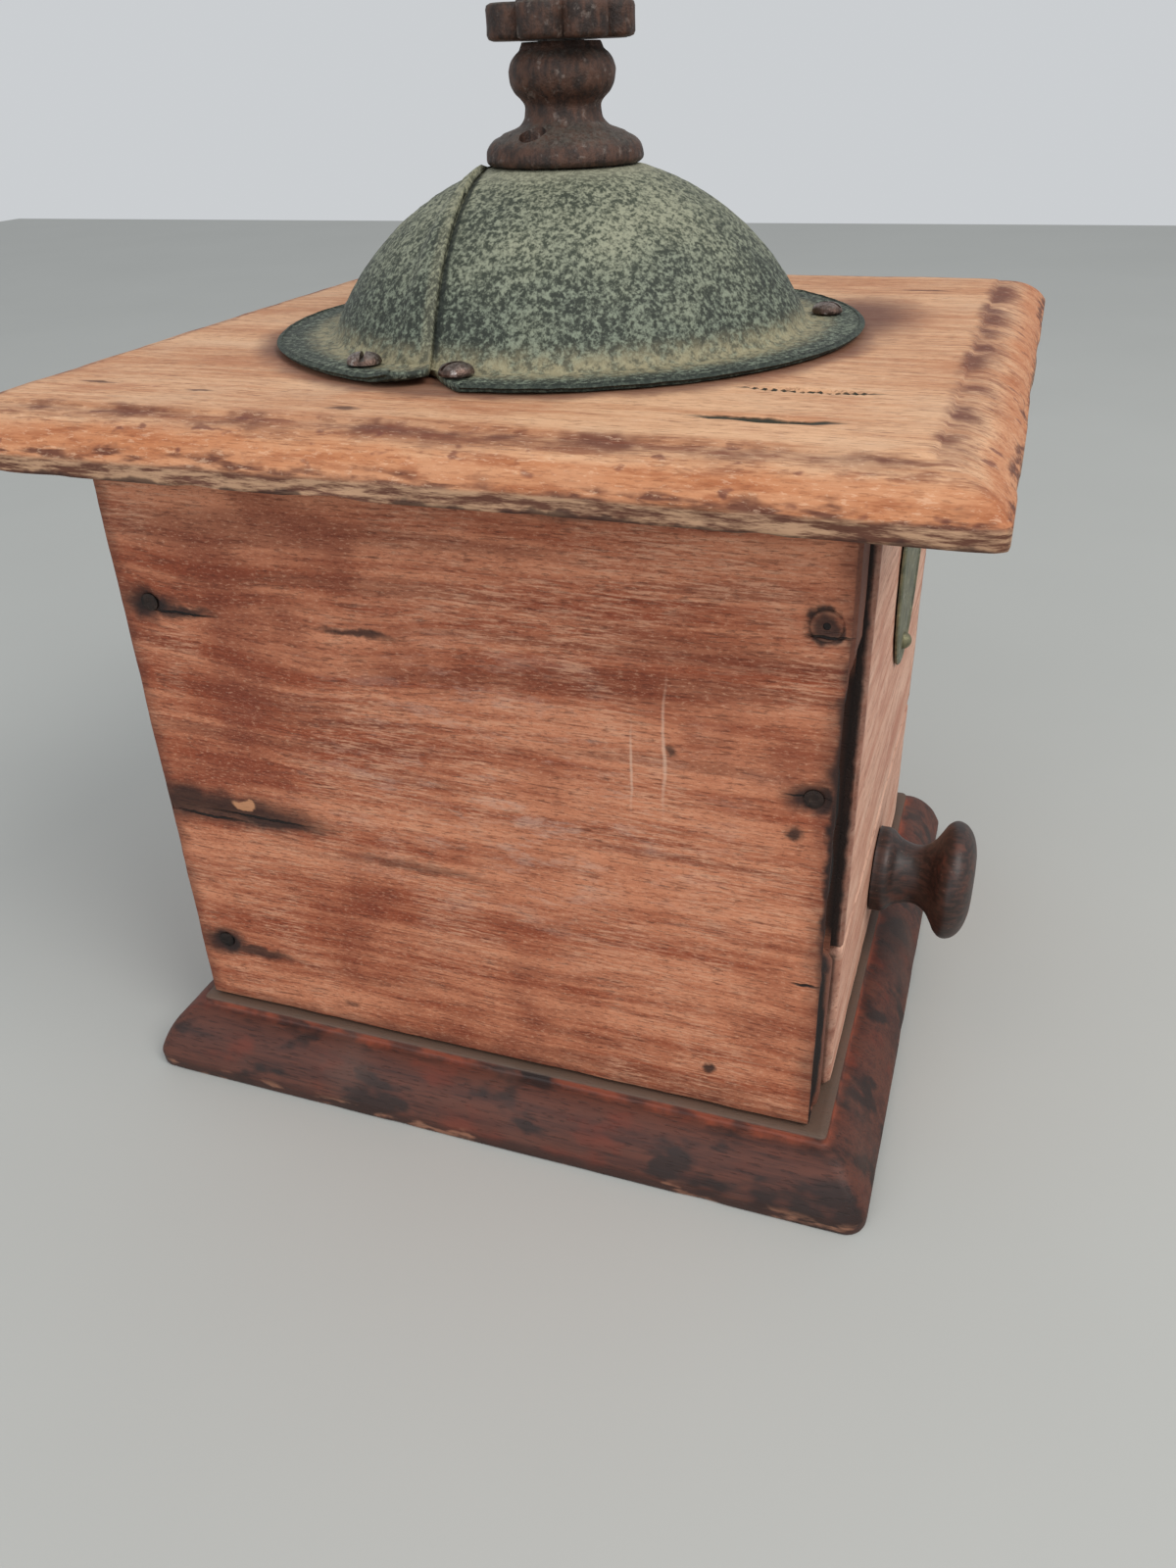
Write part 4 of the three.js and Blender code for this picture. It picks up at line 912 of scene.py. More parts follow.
def left_wall_shape(points, away):
    """Nail dimples, the splintered front edge and a shallow split near the rear edge."""
    points = dimple_nails(points, away)
    front = away[:, 1] < -0.3
    from_corner = points[:, 0] - wall_x
    height = points[:, 2]
    gone = front * smooth(height, *SPLINTERED[:2]) * (1 - smooth(height, *SPLINTERED[2:]))
    gone *= smooth(from_corner + 0.5 * bumps(points, 4, 5), 0.25, 1.1)
    points[:, 1] += gone * (3.4 + 0.8 * bumps(points, 3, 6))
    from_crack = from_corner - 2.8 - 0.5 * bumps(points, 7, 8)
    points[:, 1] += front * (1 - smooth(height, 46, 50)) * groove(from_crack, 1.5) * 3.0
    from_split = height - 62.2 - 0.5 * bumps(points, 9, 7)
    split = groove(from_split, 0.7) * smooth(points[:, 1], 26, 46)
    points[:, 0] += np.where(away[:, 0] < -0.7, split * 0.7, 0)
    return points


def front_panel_shape(points, away):
    """A short curved slit under a lifted splinter, near the left edge of the front panel."""
    face = away[:, 1] < -0.7
    slit_height = points[:, 2] - 66
    slit = groove(points[:, 0] + 48.5 + 0.06 * slit_height**2, 0.5)
    slit *= 1 - smooth(np.abs(slit_height), 2.0, 3.4)
    points[:, 1] += np.where(face, slit * 0.8, 0)
    return points


print("nails to sink:", len(nail_spots))

# %% [markdown]
# ## The walls
# Each wall is one rounded board, and a small function changes its shape where it is worn. The front and
# rear walls stand between the side walls, whose ends show at the corners.

# %% The left, right and front walls
add_piece("left_wall", board(wall_low, wall_high, 0.9, 1.3, 1, left_wall_shape), left_wood,
          "case", ["left_side_panel"])
add_piece("right_wall", board(right_low, right_high, 0.9, 1.9, 2, dimple_nails), plain_side_wood,
          "case", ["right_side_panel"])
add_piece("front_wall", board(front_low, front_high, 0.6, 1.5, 3, front_panel_shape), front_wood,
          "case", ["front_panel"])
print("walls so far:", pieces_made)


# %% [markdown]
# ## The rear wall
# It is stained like the side walls, but its grain runs across the box. So its finish uses the same beech
# with another axis along the grain, and carries no stains of its own.

# %% The rear wall and its finish
def make_rear_wood():
    """Stained beech with its grain along X, with painted shade along its top and foot."""
    made, shader, at = start_material("stained_beech_rear")
    colour, height = beech(at, 0, paint(190, 126, 98), paint(150, 82, 58), paint(84, 42, 30), 130.0)
    patch = cloud(at, 24.0, 3.0).step(0.5, 0.7)
    edge = ragged(at, 2.0, 6.0)
    # Painted shade along the top, under the top board, and along the foot by the base.
    rim = near_side(edge, 2, rear_high[2], -8.0).most(near_side(edge, 2, rear_low[2], 4.0))
    colour = blend(colour, paint(118, 56, 40), patch * 0.5)
    end_material(shader, blend(colour, paint(72, 38, 28), rim * 0.6), 0.66, height, 0.10)
    return made


rear_wood = make_rear_wood()
add_piece("rear_wall", board(rear_low, rear_high, 0.7, 2.0, 4), rear_wood,
          "case", ["rear_panel"])
print("walls made:", pieces_made)

# %% [markdown]
# ## Moulded boards
# The base and the top have a moulded edge that runs round all four sides and meets in mitres. Rings of
# points round the board, one for each step of the moulding, keep the mitre lines crisp at the corners.

# %% Rings round a board
def ring(x0, x1, y0, y1, corner, step):
    """Points round a rectangle with rounded corners, the same number for any rectangle of a board."""
    points = []
    middles = ((x1 - corner, y1 - corner, 0), (x0 + corner, y1 - corner, 90),
               (x0 + corner, y0 + corner, 180), (x1 - corner, y0 + corner, 270))
    for at, (x, y, start) in enumerate(middles):
        for angle in np.radians(np.linspace(start, start + 90, 7)):
            points.append((x + corner * math.cos(angle), y + corner * math.sin(angle)))
        after = middles[(at + 1) % 4]
        end = math.radians(start + 90)
        begin_side = np.array(points[-1])
        end_side = np.array((after[0] + corner * math.cos(end), after[1] + corner * math.sin(end)))
        for share in np.linspace(0, 1, step)[1:-1]:
            points.append(tuple(begin_side + (end_side - begin_side) * share))
    return np.array(points)


def moulded(outer, inner, profile, step=150, hole=0.0, inward=30):
    """A board whose edge follows (share inwards, height, corner radius) points, from its underside up.
    The flat of the top and the underside run in to a round hole, or to the middle."""
    rings = []
    for share, height, corner in profile:
        sides = [o + (i - o) * share for o, i in zip(outer, inner)]
        flat = ring(sides[0], sides[1], sides[2], sides[3], corner, step)
        rings.append(np.column_stack([flat, np.full(len(flat), height)]))

    def run_in(edge, shares):
        flat = edge[:, :2]
        target = flat / np.linalg.norm(flat, axis=1, keepdims=True) * max(hole, 2.0)
        return [np.column_stack([flat + (target - flat) * s, edge[:, 2]]) for s in shares]

    over = run_in(rings[-1], np.linspace(0, 1, inward)[1:])
    under = run_in(rings[0], np.linspace(0, 1, 8)[1:])[::-1]
    rows = np.array(under + rings + over)
    return outward(net(rows, wrapped=bool(hole), caps=(not hole, not hole)))


print("a ring of a board has", len(ring(-1, 1, -1, 1, 0.2, 130)), "points")

# %% [markdown]
# ## The top board
# Its edge rises in a rounded slope above a square lip, and a curve through three points of control gives
# the slope. Wear is added after the rings are made, so that the mitres start out straight.



# %% The top board
def bow(start, end, bulge, steps):
    """(share, height) points of a moulding's curve, a quadratic Bezier like a plane iron's shape."""
    t = np.linspace(0, 1, steps)[:, None]
    start, end, bulge = (np.array(p, float) for p in (start, end, bulge))
    return (1 - t) ** 2 * start + 2 * t * (1 - t) * bulge + t**2 * end


top_outer = (top_low[0], top_high[0], top_low[1], top_high[1])
top_inner = (top_low[0] + MOULDING, top_high[0] - MOULDING, top_low[1] + MOULDING, top_high[1] - MOULDING)
top_edge = top_low[2] + 3.1
top_curve = bow((0.035, top_edge + 0.5), (0.97, board_top - 0.45), (0.30, top_low[2] + 7.7), 16)
top_profile = [(0.05, top_low[2], 1.6), (0.012, top_low[2] + 0.15, 2.0), (0.0, top_low[2] + 0.6, 2.2)]
top_profile += [(0.0, z, 2.2) for z in np.linspace(top_low[2] + 1.1, top_edge - 0.2, 4)]
top_profile += [(0.012, top_edge + 0.2, 2.1)]
top_profile += [(s, z, 2.0 - 1.6 * s) for s, z in top_curve]
top_profile += [(1.0, board_top - 0.12, 0.35), (1.05, board_top, 0.3)]
BOWL_RIM = 6.0  # how far the bowl's rim lies on the board round the hole
top_hole = box_of("bean_bowl")[1][0] - BOWL_RIM
points, faces = moulded(top_outer, top_inner, top_profile, 130, hole=top_hole, inward=38)


def wear_top(points):
    """Dents and rounding on the moulding, chips under the edge, and the two long cuts."""
    inset = np.minimum(top_high[0] - np.abs(points[:, 0]), top_high[1] - np.abs(points[:, 1]))
    upper = points[:, 2] > top_edge - 0.1
    points[:, 2] += np.where(upper, 0.16 * bumps(points, 12, 11) + 0.07 * bumps(points, 3, 12), 0)
    valley = groove(inset - MOULDING + 0.6, 1.1)
    points[:, 2] -= np.where(upper, valley * (0.16 + 0.10 * bumps(points, 8, 13)), 0)
    worn = (1 - smooth(inset, 0.2, 1.6)) * np.maximum(0, bumps(points, (9, 9, 3), 14)) * 0.6
    pull = np.sign(points[:, :2]) * worn[:, None] * (np.abs(points[:, :2]) > np.array([70, 73]))
    points[:, :2] -= pull
    chipped = (points[:, 2] < top_low[2] + 0.8) * np.maximum(0, bumps(points, (3, 6, 3), 15)) * (inset < 1.2)
    points[:, 2] += chipped * 0.7
    for (x, y), (wide, long) in TOP_CUTS:
        reach = np.hypot((points[:, 0] - x) / (wide * 1.2), (points[:, 1] - y) / long)
        points[:, 2] -= np.where(upper, (1 - smooth(reach, 0.2, 1.0)) * 0.9, 0)
    return points


add_piece("top_board_worn", (wear_top(points), faces), top_wood,
          "case", ["top_board"], sharp=60)
print("top board:", len(faces), "faces")

# %% [markdown]
# ## The base board
# The same rings make the base: an upright foot, a rounded slope, a small step and the flat ledge that the
# walls stand on.

# %% The base board
LEDGE = 14.0
base_outer = (base_low[0], base_high[0], base_low[1], base_high[1])
base_inner = (wall_low[0], right_high[0], front_low[1], wall_high[1])
base_curve = bow((0.02, 3.4), (0.80, 12.3), (0.33, 11.6), 14)
base_profile = [(0.06, 0.0, 3.2), (0.015, 0.2, 3.6), (0.0, 0.7, 3.8), (0.0, 1.6, 3.8), (0.0, 2.8, 3.7)]
base_profile += [(s, z, 3.6 - 2.4 * s) for s, z in base_curve]
base_profile += [(0.83, 12.45, 1.2), (0.845, 12.9, 1.1), (0.85, 13.6, 1.1), (0.87, 13.95, 1.0)]
base_profile += [(1.0, LEDGE, 0.8)]
points, faces = moulded(base_outer, base_inner, base_profile, 130, inward=14)
sloping = (points[:, 2] > 0.4) & (points[:, 2] < LEDGE - 0.8)
points[:, 2] += np.where(sloping, 0.18 * bumps(points, 11, 21) + 0.07 * bumps(points, 3, 22), 0)
points[:, :2] *= (1 - 0.0035 * np.maximum(0, bumps(points, 8, 23)) * (points[:, 2] < 6))[:, None]
add_piece("base_board_worn", (points, faces), base_wood, "case", ["base_board"], sharp=60)
print("base board:", len(faces), "faces")

# %% [markdown]
# ## The lapped dome
# The dome is one sheet bent round until its ends overlap, so it is built as one open strip: rows follow
# the profile from the flange's rim up to the crown, and columns go round for a little more than a full
# turn. The last columns are lifted over the first. Solidify then gives the sheet its thickness.

# %% Profile of the dome
SHEET = 1.0
FLANGE_TOP = 1.3
FLANGE_WIDTH = 10.2
CROWN_TOP = dome_high[2] - board_top
CORNER, CROWN = FLANGE - FLANGE_WIDTH, 13.2
# A sphere passes through the corner of the flange and through the crown's rim.
dome_rise = CROWN_TOP - FLANGE_TOP
ball_middle = FLANGE_TOP + (dome_rise**2 + CROWN**2 - CORNER**2) / (2 * dome_rise)
ball = math.hypot(CROWN, CROWN_TOP - ball_middle)
hopper = np.array([0, 0, board_top])


def on_ball(radius, heights):
    """Points of the ball's outline at some heights."""
    heights = np.asarray(heights, float)
    return np.stack([np.sqrt(radius**2 - (heights - ball_middle) ** 2), heights], 1)


def by_angle(radius, low, high, step):
    """Heights on the ball between two heights, evenly spaced along the curve."""
    start, end = (math.asin((h - ball_middle) / radius) for h in (low, high))
    count = max(3, int(radius * (end - start) / step) + 1)
    return ball_middle + radius * np.sin(np.linspace(start, end, count))


door_low, door_high = 5.3, ball_middle + math.sqrt(ball**2 - (CROWN + 6.5) ** 2)
flange = [(FLANGE - 0.25, 0.9), (FLANGE, 1.15), (FLANGE - 0.3, 1.42), (FLANGE - 0.9, 1.4)]
flange += [(r, FLANGE_TOP) for r in np.arange(FLANGE - 1.8, CORNER + 1.2, -0.85)]
flange += [(CORNER + 0.7, 1.35), (CORNER + 0.15, 1.7)]
heights = np.concatenate([by_angle(ball, 2.2, door_low, 0.8), by_angle(ball, door_low, door_high, 0.8)[1:],
                          by_angle(ball, door_high, CROWN_TOP - 0.15, 0.8)[1:]])
profile = np.vstack([flange, on_ball(ball, heights), [(r, CROWN_TOP) for r in (12.6, 11.0, 8.0, 4.8)]])
columns = np.concatenate([np.arange(156, 516), np.linspace(516, 521.6, 12)])
FIRST_KEPT, LAST_KEPT = 200, 440  # only columns outside these angles shift towards the seam
print("dome profile:", len(profile), "rows and", len(columns), "columns")


# %% [markdown]
# ## The sheet and its seam
# The seam is cut straight in plan and passes beside the axis, so its angle changes with the radius. Each
# row finds its own angle, then shifts its first and last columns to it and lifts the last ones.

# %% The sheet, with its lifted seam and wrinkled enamel
def arc(radius, angles, height):
    """Points at one height and one radius, or a radius for each angle, round the Z axis."""
    return np.stack([radius * np.cos(angles), radius * np.sin(angles), height + 0 * angles], 1)


def widened(rows, factor):
    """Rows with X and Y times a factor for each point, and Z kept."""
    return rows * np.stack([factor, factor, np.ones_like(factor)], -1)


def seam_angle(radius):
    """Plan angle of the seam, which is a straight cut that passes beside the axis, in degrees."""
    steps = np.arange(-CORNER - 4, -1.0, 0.1)
    across = SEAM_SIDE + SEAM_SLOPE * steps
    nearest = np.argmin(np.abs(np.hypot(steps, across) - max(radius, SEAM_SIDE - 0.1)))
    return math.degrees(math.atan2(across[nearest], steps[nearest]))


def dome_points():
    """Rows of the sheet, with their first and last columns moved to the two ends that overlap."""
    rows = []
    for radius, height in profile:
        angle = columns.astype(float).copy()
        out = float(smooth(radius, CORNER - 0.2, CORNER + 1.4))
        seam = seam_angle(min(radius, CORNER))
        over_flange = max(0.0, (radius - CORNER) / FLANGE_WIDTH)
        start = seam - 5.6 * (1 - out) + (11.8 * over_flange + 0.4) * out
        end = 360 + seam + out * float(np.interp(radius, (CORNER, 49.5, FLANGE), (0, 3.4, -1.6)))
        early, late = angle < FIRST_KEPT, angle > LAST_KEPT
        angle[early] = start + (angle[early] - columns[0]) * (FIRST_KEPT - start) / (FIRST_KEPT - columns[0])
        angle[late] = LAST_KEPT + (angle[late] - LAST_KEPT) * (end - LAST_KEPT) / (columns[-1] - LAST_KEPT)
        lift = (1 - out) * 1.12 * smooth(angle, end - 13, end - 6) + out * 0.9 * smooth(angle, end - 6, end)
        lift += 0.12 * smooth(angle, end - 1.6, end - 0.4)
        if radius < CROWN + 1:
            lift *= 0.25
        row = arc(radius, np.radians(angle), height)
        away = row - np.array([0, 0, ball_middle])
        away /= np.linalg.norm(away, axis=1, keepdims=True)
        away = away * (1 - out) + np.array([0, 0, 1.0]) * out
        dent = 0.14 * bumps(row, 17, 31) + 0.10 * bumps(row, 1.7, 32) + 0.05 * bumps(row, 0.9, 33)
        flat = 1.0 if radius > CROWN else 0.0
        rows.append(row + away * (lift + dent * flat * (0.8 if out else 1))[:, None] + hopper)
    return np.array(rows)


DOORWAY = (312, 408)  # degrees, with +X at 360


def dome_faces(count, width):
    """Faces of the strip of rows and columns, without those in the doorway."""
    faces = []
    for i in range(count - 1):
        middle = (profile[i, 1] + profile[i + 1, 1]) / 2
        for j in range(width - 1):
            at_door = DOORWAY[0] < (columns[j] + columns[j + 1]) / 2 < DOORWAY[1]
            if not (at_door and door_low < middle < door_high and profile[i, 0] > CROWN):
                corner = i * width + j
                faces.append((corner, corner + 1, corner + width + 1, corner + width))
    return faces


def thicken(piece, thickness):
    """Gives a sheet its thickness, inwards from its outer side."""
    solid = piece.modifiers.new("thickness", "SOLIDIFY")
    solid.thickness = thickness * MM
    solid.offset = -1


rows = dome_points()
mesh = outward((rows.reshape(-1, 3), dome_faces(*rows.shape[:2])))
thicken(add_piece("dome_sheet", mesh, green_paint, "case", ["dome_shell"], sharp=50), SHEET)
print("dome sheet:", len(mesh[1]), "faces")

# %% [markdown]
# ## The sliding door
# The door is a thinner sheet on a slightly smaller sphere with the same middle, so it slides under the
# dome without touching it. The pull is turned, and stands square to the sheet near its lower edge.

# %% The sliding door and its pull
DOOR_SHEET, DOOR_GAP = 0.75, 0.4
door_outer = ball - SHEET - DOOR_GAP
door_top = ball_middle + math.sqrt(door_outer**2 - (CROWN + 1) ** 2)
swing = np.radians(np.arange(-52, 52.1, 1.0))
rows = []
for radius, height in on_ball(door_outer, by_angle(door_outer, 2.8, door_top, 0.8)):
    row = arc(radius, swing, height)
    rows.append(widened(row, 1 - 0.0012 * (1 + bumps(row, 1.7, 35))) + hopper)
mesh = outward(net(rows, closed=False))
door = add_piece("door_sheet", mesh, green_paint, "door", ["dome_door"])
thicken(door, DOOR_SHEET)
tilt = math.degrees(math.asin((door_low + 4.2 - ball_middle) / ball))
to_pull = Matrix.Rotation(math.radians(42), 4, "Z") @ Matrix.Rotation(math.radians(90 - tilt), 4, "Y")
to_pull.translation = hopper + np.array([0, 0, ball_middle])


def placed(mesh, place):
    """A mesh moved by a matrix, in millimetres."""
    points, faces = mesh
    turn_part, shift = np.array(place.to_3x3()), np.array(place.translation)
    return np.asarray(points) @ turn_part.T + shift, faces


def rod(radius, low, high, count=32):
    """A plain cylinder along Z, used to cut holes."""
    return net(turned_rows([(radius, low), (radius, high)], count), caps=(True, True))


carve(door, placed(rod(1.62, door_outer - 3, door_outer + 3), to_pull))
pull = [(0.6, -1.0), (1.25, -1.0), (1.3, 0.3), (2.3, 0.3), (2.6, 0.6), (2.3, 1.3), (1.8, 2.2), (1.95, 3.2)]
pull += [(2.5, 3.9), (2.6, 4.6), (2.3, 5.5), (1.5, 6.1), (0.5, 6.3)]
pull = np.array(pull) + np.array([0, door_outer])
mesh = net(turned_rows(curve(pull, 0.3), 40), caps=(True, True))
add_piece("door_pull_knob", outward(mesh), plate_metal, "door", ["door_pull"], place=to_pull)
print("door and pull made, with the door's outer face", round(ball - door_outer, 2), "mm inside the dome's")

# %% [markdown]
# ## Turned pieces
# The pillar, both wooden knobs and the pin heads are outlines swept round an axis. Bumpy noise on the
# rings gives iron its pitted skin and wood its hand-worn waver.

# %% The bearing pillar
SEAT_GAP = 0.3
FOOT = CROWN_TOP + SEAT_GAP
PILLAR_TALL, PILLAR_BORE = 18.4, 4.25
bulb = [(4.8 + 4.4 * math.cos(a), 13.6 + 4.4 * math.sin(a)) for a in np.radians(np.linspace(-52, 56, 12))]
shape = [(13.2, 0.0), (13.8, 0.5), (13.9, 1.3), (13.5, 2.7), (12.4, 3.9), (11.2, 4.5), (10.6, 4.9)]
shape += [(9.4, 5.3), (7.9, 5.9), (6.95, 6.9), (6.7, 8.2), (6.75, 9.1), (7.3, 9.9)] + bulb
shape += [(6.9, 18.1), (6.7, PILLAR_TALL)]
bore = [[(PILLAR_BORE, 0.0)], [(PILLAR_BORE, PILLAR_TALL)]]
outline = np.vstack([bore[0], curve(shape, 0.42), bore[1]])
rows = turned_rows(outline + np.array([0, FOOT]), 112) + hopper
skin = rows - hopper - np.array([0, 0, FOOT])
push = 0.16 * bumps(skin, (2.6, 2.6, 5.5), 41) + 0.10 * bumps(skin, 1.1, 42)
push *= (skin[..., 2] > 0.3) & (skin[..., 2] < PILLAR_TALL - 0.2)
outwards = skin * np.array([1, 1, 0])
outwards /= np.linalg.norm(outwards, axis=2, keepdims=True)
rows = rows + outwards * np.minimum(push, 0.12)[..., None]
pillar = add_piece("turned_pillar", outward(net(rows, wrapped=True)), browned_iron, "case",
                   ["bearing_pillar"], sharp=50)
seats = [np.append(10 * np.array([math.cos(a), math.sin(a)]), 0) for a in np.radians([168, -12])]
for seat in seats:
    place = Matrix.Translation(hopper + seat)
    carve(pillar, placed(rod(2.35, FOOT + 1.6, FOOT + 9), place), placed(rod(1.4, FOOT - 1, FOOT + 3), place))
print("pillar:", len(pillar.data.polygons), "faces")

# %% [markdown]
# ## Screws and nails
# Slotted round heads are turned, then a bar is cut out for the slot. The nail heads are hammered, so
# their rims are uneven and each one gets its own noise.


# %% Slotted screws
def slot_bar(head):
    """The bar that cuts a slot, a little wider above so that the slot's sides lean."""
    wide, low, high = head * 0.13, head * 0.26, head * 1.4
    rows = [[(x, -wide, low), (x, wide, low), (x, wide * 1.2, high), (x, -wide * 1.2, high)]
            for x in np.linspace(-head * 1.3, head * 1.3, 5)]
    return net(rows, caps=(True, True))


def slotted_screw(name, radius, head, length, place, slot_turn, seed):
    """A round-headed screw for the case, which replaces the CAD screw of the same name."""
    shape = [(0.25, -length), (radius * 0.6, 1 - length), (radius, 2.2 - length), (radius, -0.02)]
    shape += [(head - 0.1, 0), (head, 0.12)]
    shape += [(head * out, head * up) for out, up in
              ((0.985, 0.17), (0.90, 0.34), (0.74, 0.47), (0.5, 0.57), (0.26, 0.615), (0.06, 0.62))]
    rows = turned_rows(shape, 48)
    nick = 0.05 * head * bumps(rows + seed * 3.1, head * 0.45, seed)
    nick = np.where(rows[..., 2] > 0.05, np.minimum(nick, 0.03), 0)
    rows = rows * (1 + nick[..., None] / head)
    screw = placed(outward(net(rows, caps=(True, True))), place)
    piece = add_piece(name + "_slotted", screw, screw_iron, "case", [name], sharp=45)
    carve(piece, placed(slot_bar(head), place @ Matrix.Rotation(math.radians(slot_turn), 4, "Z")))


SCREW_CIRCLE = 48
DOME_SCREWS = ((155, 20), (178, -35), (-72, 80), (12, 10), (84, 50))  # degrees: where, and the slot's turn
for number, (angle, slot_turn) in enumerate(DOME_SCREWS, 1):
    spin = math.radians(angle)
    across, along = SCREW_CIRCLE * math.cos(spin), SCREW_CIRCLE * math.sin(spin)
    place = Matrix.Translation(hopper + np.array([across, along, FLANGE_TOP + SEAT_GAP]))
    slotted_screw(f"dome_screw_{number}", 1.5, 2.9, 8.0, place, slot_turn, 50 + number)
for number, seat in enumerate(seats, 1):
    place = Matrix.Translation(hopper + seat + np.array([0, 0, FOOT + 1.9]))
    slotted_screw(f"pillar_screw_{number}", 1.1, 2.0, 6.4, place, 30 + 50 * number, 60 + number)
pin_shape = [(0.3, 0.0), (0.8, 0.0), (0.85, 0.15), (1.7, 0.2), (1.68, 0.6), (1.45, 1.2), (1.0, 1.7)]
pin_shape += [(0.4, 1.98), (0.1, 2.0)]
pin_head = outward(net(turned_rows(pin_shape, 32), caps=(True, True)))
for number in (1, 2):
    low, high = box_of(f"plate_pin_{number}")
    pin_middle = (low + high) / 2
    place = Matrix.Translation(Vector((pin_middle[0], high[1], pin_middle[2])))
    place = place @ Matrix.Rotation(math.radians(90), 4, "X")
    add_piece(f"plate_pin_{number}_head", placed(pin_head, place), plate_metal, "case",
              [f"plate_pin_{number}"])
print("screws made:", len(DOME_SCREWS) + len(seats), "and two pins")

# %% [markdown]
# ## Nails and the plug
# A nail's head lies just under the wall's face, in the dimple that the wall already has. Hammering left
# each head a little uneven. One nail sits in a round wooden plug, which is a turned ring with
# the wall's own finish.

# %% Hammered nails and the plug
NAIL_FACE = 62.3  # from the middle of the box to the top of a nail's head


def on_side(outer_side, y, z):
    """A place on a side wall with Z pointing outwards."""
    turned = Matrix.Rotation(math.radians(90 * outer_side), 4, "Y")
    return Matrix.Translation(Vector((outer_side * NAIL_FACE, y, z))) @ turned


shape = [(0.2, -25.8), (0.9, -23), (0.9, -0.9), (1.62, -0.6), (1.7, -0.35), (1.62, -0.12), (1.2, 0.0)]
nail_rows = turned_rows(shape + [(0.8, 0.02), (0.4, -0.08), (0.08, -0.1)], 40)
for number, (name, middle) in enumerate(nail_spots.items()):
    uneven = bumps(nail_rows + 7.7 * number, 1.3, 70 + number)
    rows = widened(nail_rows, 1 + np.where(nail_rows[..., 2] > -0.8, 0.06 * uneven, 0))
    nail = outward(net(rows, caps=(True, True)))
    place = on_side(-1 if "_left_" in name else 1, *middle[1:])
    add_piece(name + "_hammered", placed(nail, place), nail_iron, "case", [name])
ring_shape = [(0.6, -1.4), (2.5, -1.4), (2.55, 0.1), (2.3, 0.3), (1.1, 0.26), (0.6, 0.1)]
plug = outward(net(turned_rows(ring_shape, 36), wrapped=True))
add_piece("wall_plug", placed(plug, on_side(-1, *plug_middle[1:])), left_wood, "case")
print("nails made:", len(nail_spots))

# %% [markdown]
# ## The oval plate
# The plate is left blank. Ovals one inside the other give it a turned rim and a slightly hollow
# field, and a little noise bends the thin sheet.

# %% The oval plate
plate_low, plate_high = box_of("front_plate")
half_x, half_z = (plate_high[0] - plate_low[0]) / 2, (plate_high[2] - plate_low[2]) / 2
plate_z = (plate_high[2] + plate_low[2]) / 2
steps = [(0.05, 0.0), (0.5, 0.0), (0.97, 0.0), (1.0, 0.12), (1.0, 0.45), (0.985, 0.66), (0.965, 0.78)]
steps += [(0.94, 0.74), (0.915, 0.5), (0.89, 0.42)]
steps += [(share, 0.46 + 0.2 * (1 - share)) for share in np.linspace(0.85, 0.05, 22)]
around = np.linspace(0, 2 * np.pi, 140, endpoint=False)
rows = np.array([[(half_x * share * math.cos(a), plate_high[1] - rise, plate_z + half_z * share * math.sin(a))
                  for a in around] for share, rise in steps])
rows[3:, :, 1] += 0.05 * bumps(rows[3:], 5, 81)
add_piece("blank_oval_plate", outward(net(rows, caps=(True, True))), plate_metal, "case",
          ["front_plate"])
print("plate, mm:", round(2 * half_x, 1), "by", round(2 * half_z, 1))

# %% [markdown]
# ## The drawer's face and knob
# The face is one more rounded board. The knob is turned, with a narrow waist and a wide soft head. A hole
# is bored into its foot for the screw that holds it, since the screw is a piece of its own.

# %% The drawer's face and knob
add_piece("drawer_face", board(face_low, face_high, 1.3, 1.5, 9), front_wood, "drawer",
          ["drawer_front"])
shape = [(0.3, 0.3), (8.7, 0.3), (9.2, 0.8), (9.2, 2.6), (8.6, 3.6), (7.5, 4.8), (6.8, 6.4), (6.4, 8.4)]
shape += [(6.7, 10.2), (7.9, 11.9), (9.8, 13.2), (11.5, 14.2), (12.5, 15.4), (12.7, 16.6), (12.2, 18.0)]
shape += [(10.9, 19.3), (9.0, 20.2), (6.4, 20.8), (3.2, 21.0), (0.4, 21.0)]
rows = turned_rows(curve(shape, 0.45), 110)
waver = 0.008 * bumps(rows, (6, 6, 4), 91) - 0.004 * np.maximum(0, bumps(rows, 1.6, 92))
rows = widened(rows, 1 + waver)
knob_z = (face_low[2] + face_high[2]) / 2 + 0.6
place = Matrix.Translation(Vector((0, face_low[1], knob_z))) @ Matrix.Rotation(math.radians(90), 4, "X")
knob = add_piece("drawer_knob_turned", placed(outward(net(rows, caps=(True, True))), place), turned_wood,
                 "drawer", ["drawer_knob"], sharp=50)
carve(knob, placed(rod(1.9, -1, 12.5), place))
print("knob middle, mm:", round(knob_z, 2), "box", box_of("drawer_knob"))

# %% [markdown]
# ## Nut and crank
# The nut's edge is eight lobes, written as a radius that swings with the angle. The crank is a flat bar
# swept along a bent route, with a hub at one end and a pad at the other.


# %% Rings whose radius can depend on the angle
def shaped_rows(steps, count=144):
    """Rings of (radius, height), where a radius may be a function of the angle."""
    angles = np.linspace(0, 2 * np.pi, count, endpoint=False)
    rows = []
    for radius, height in steps:
        rows.append(arc(radius(angles) if callable(radius) else radius, angles, height))
    return np.array(rows)


NUT_RADIUS, NUT_FOOT = 13.0, 46.5


def lobes(inset, depth=2.5):
    """The nut's edge, drawn inwards by an inset."""
    return lambda angle: NUT_RADIUS - inset - depth * (1 - np.abs(np.cos(4 * angle))) ** 1.5


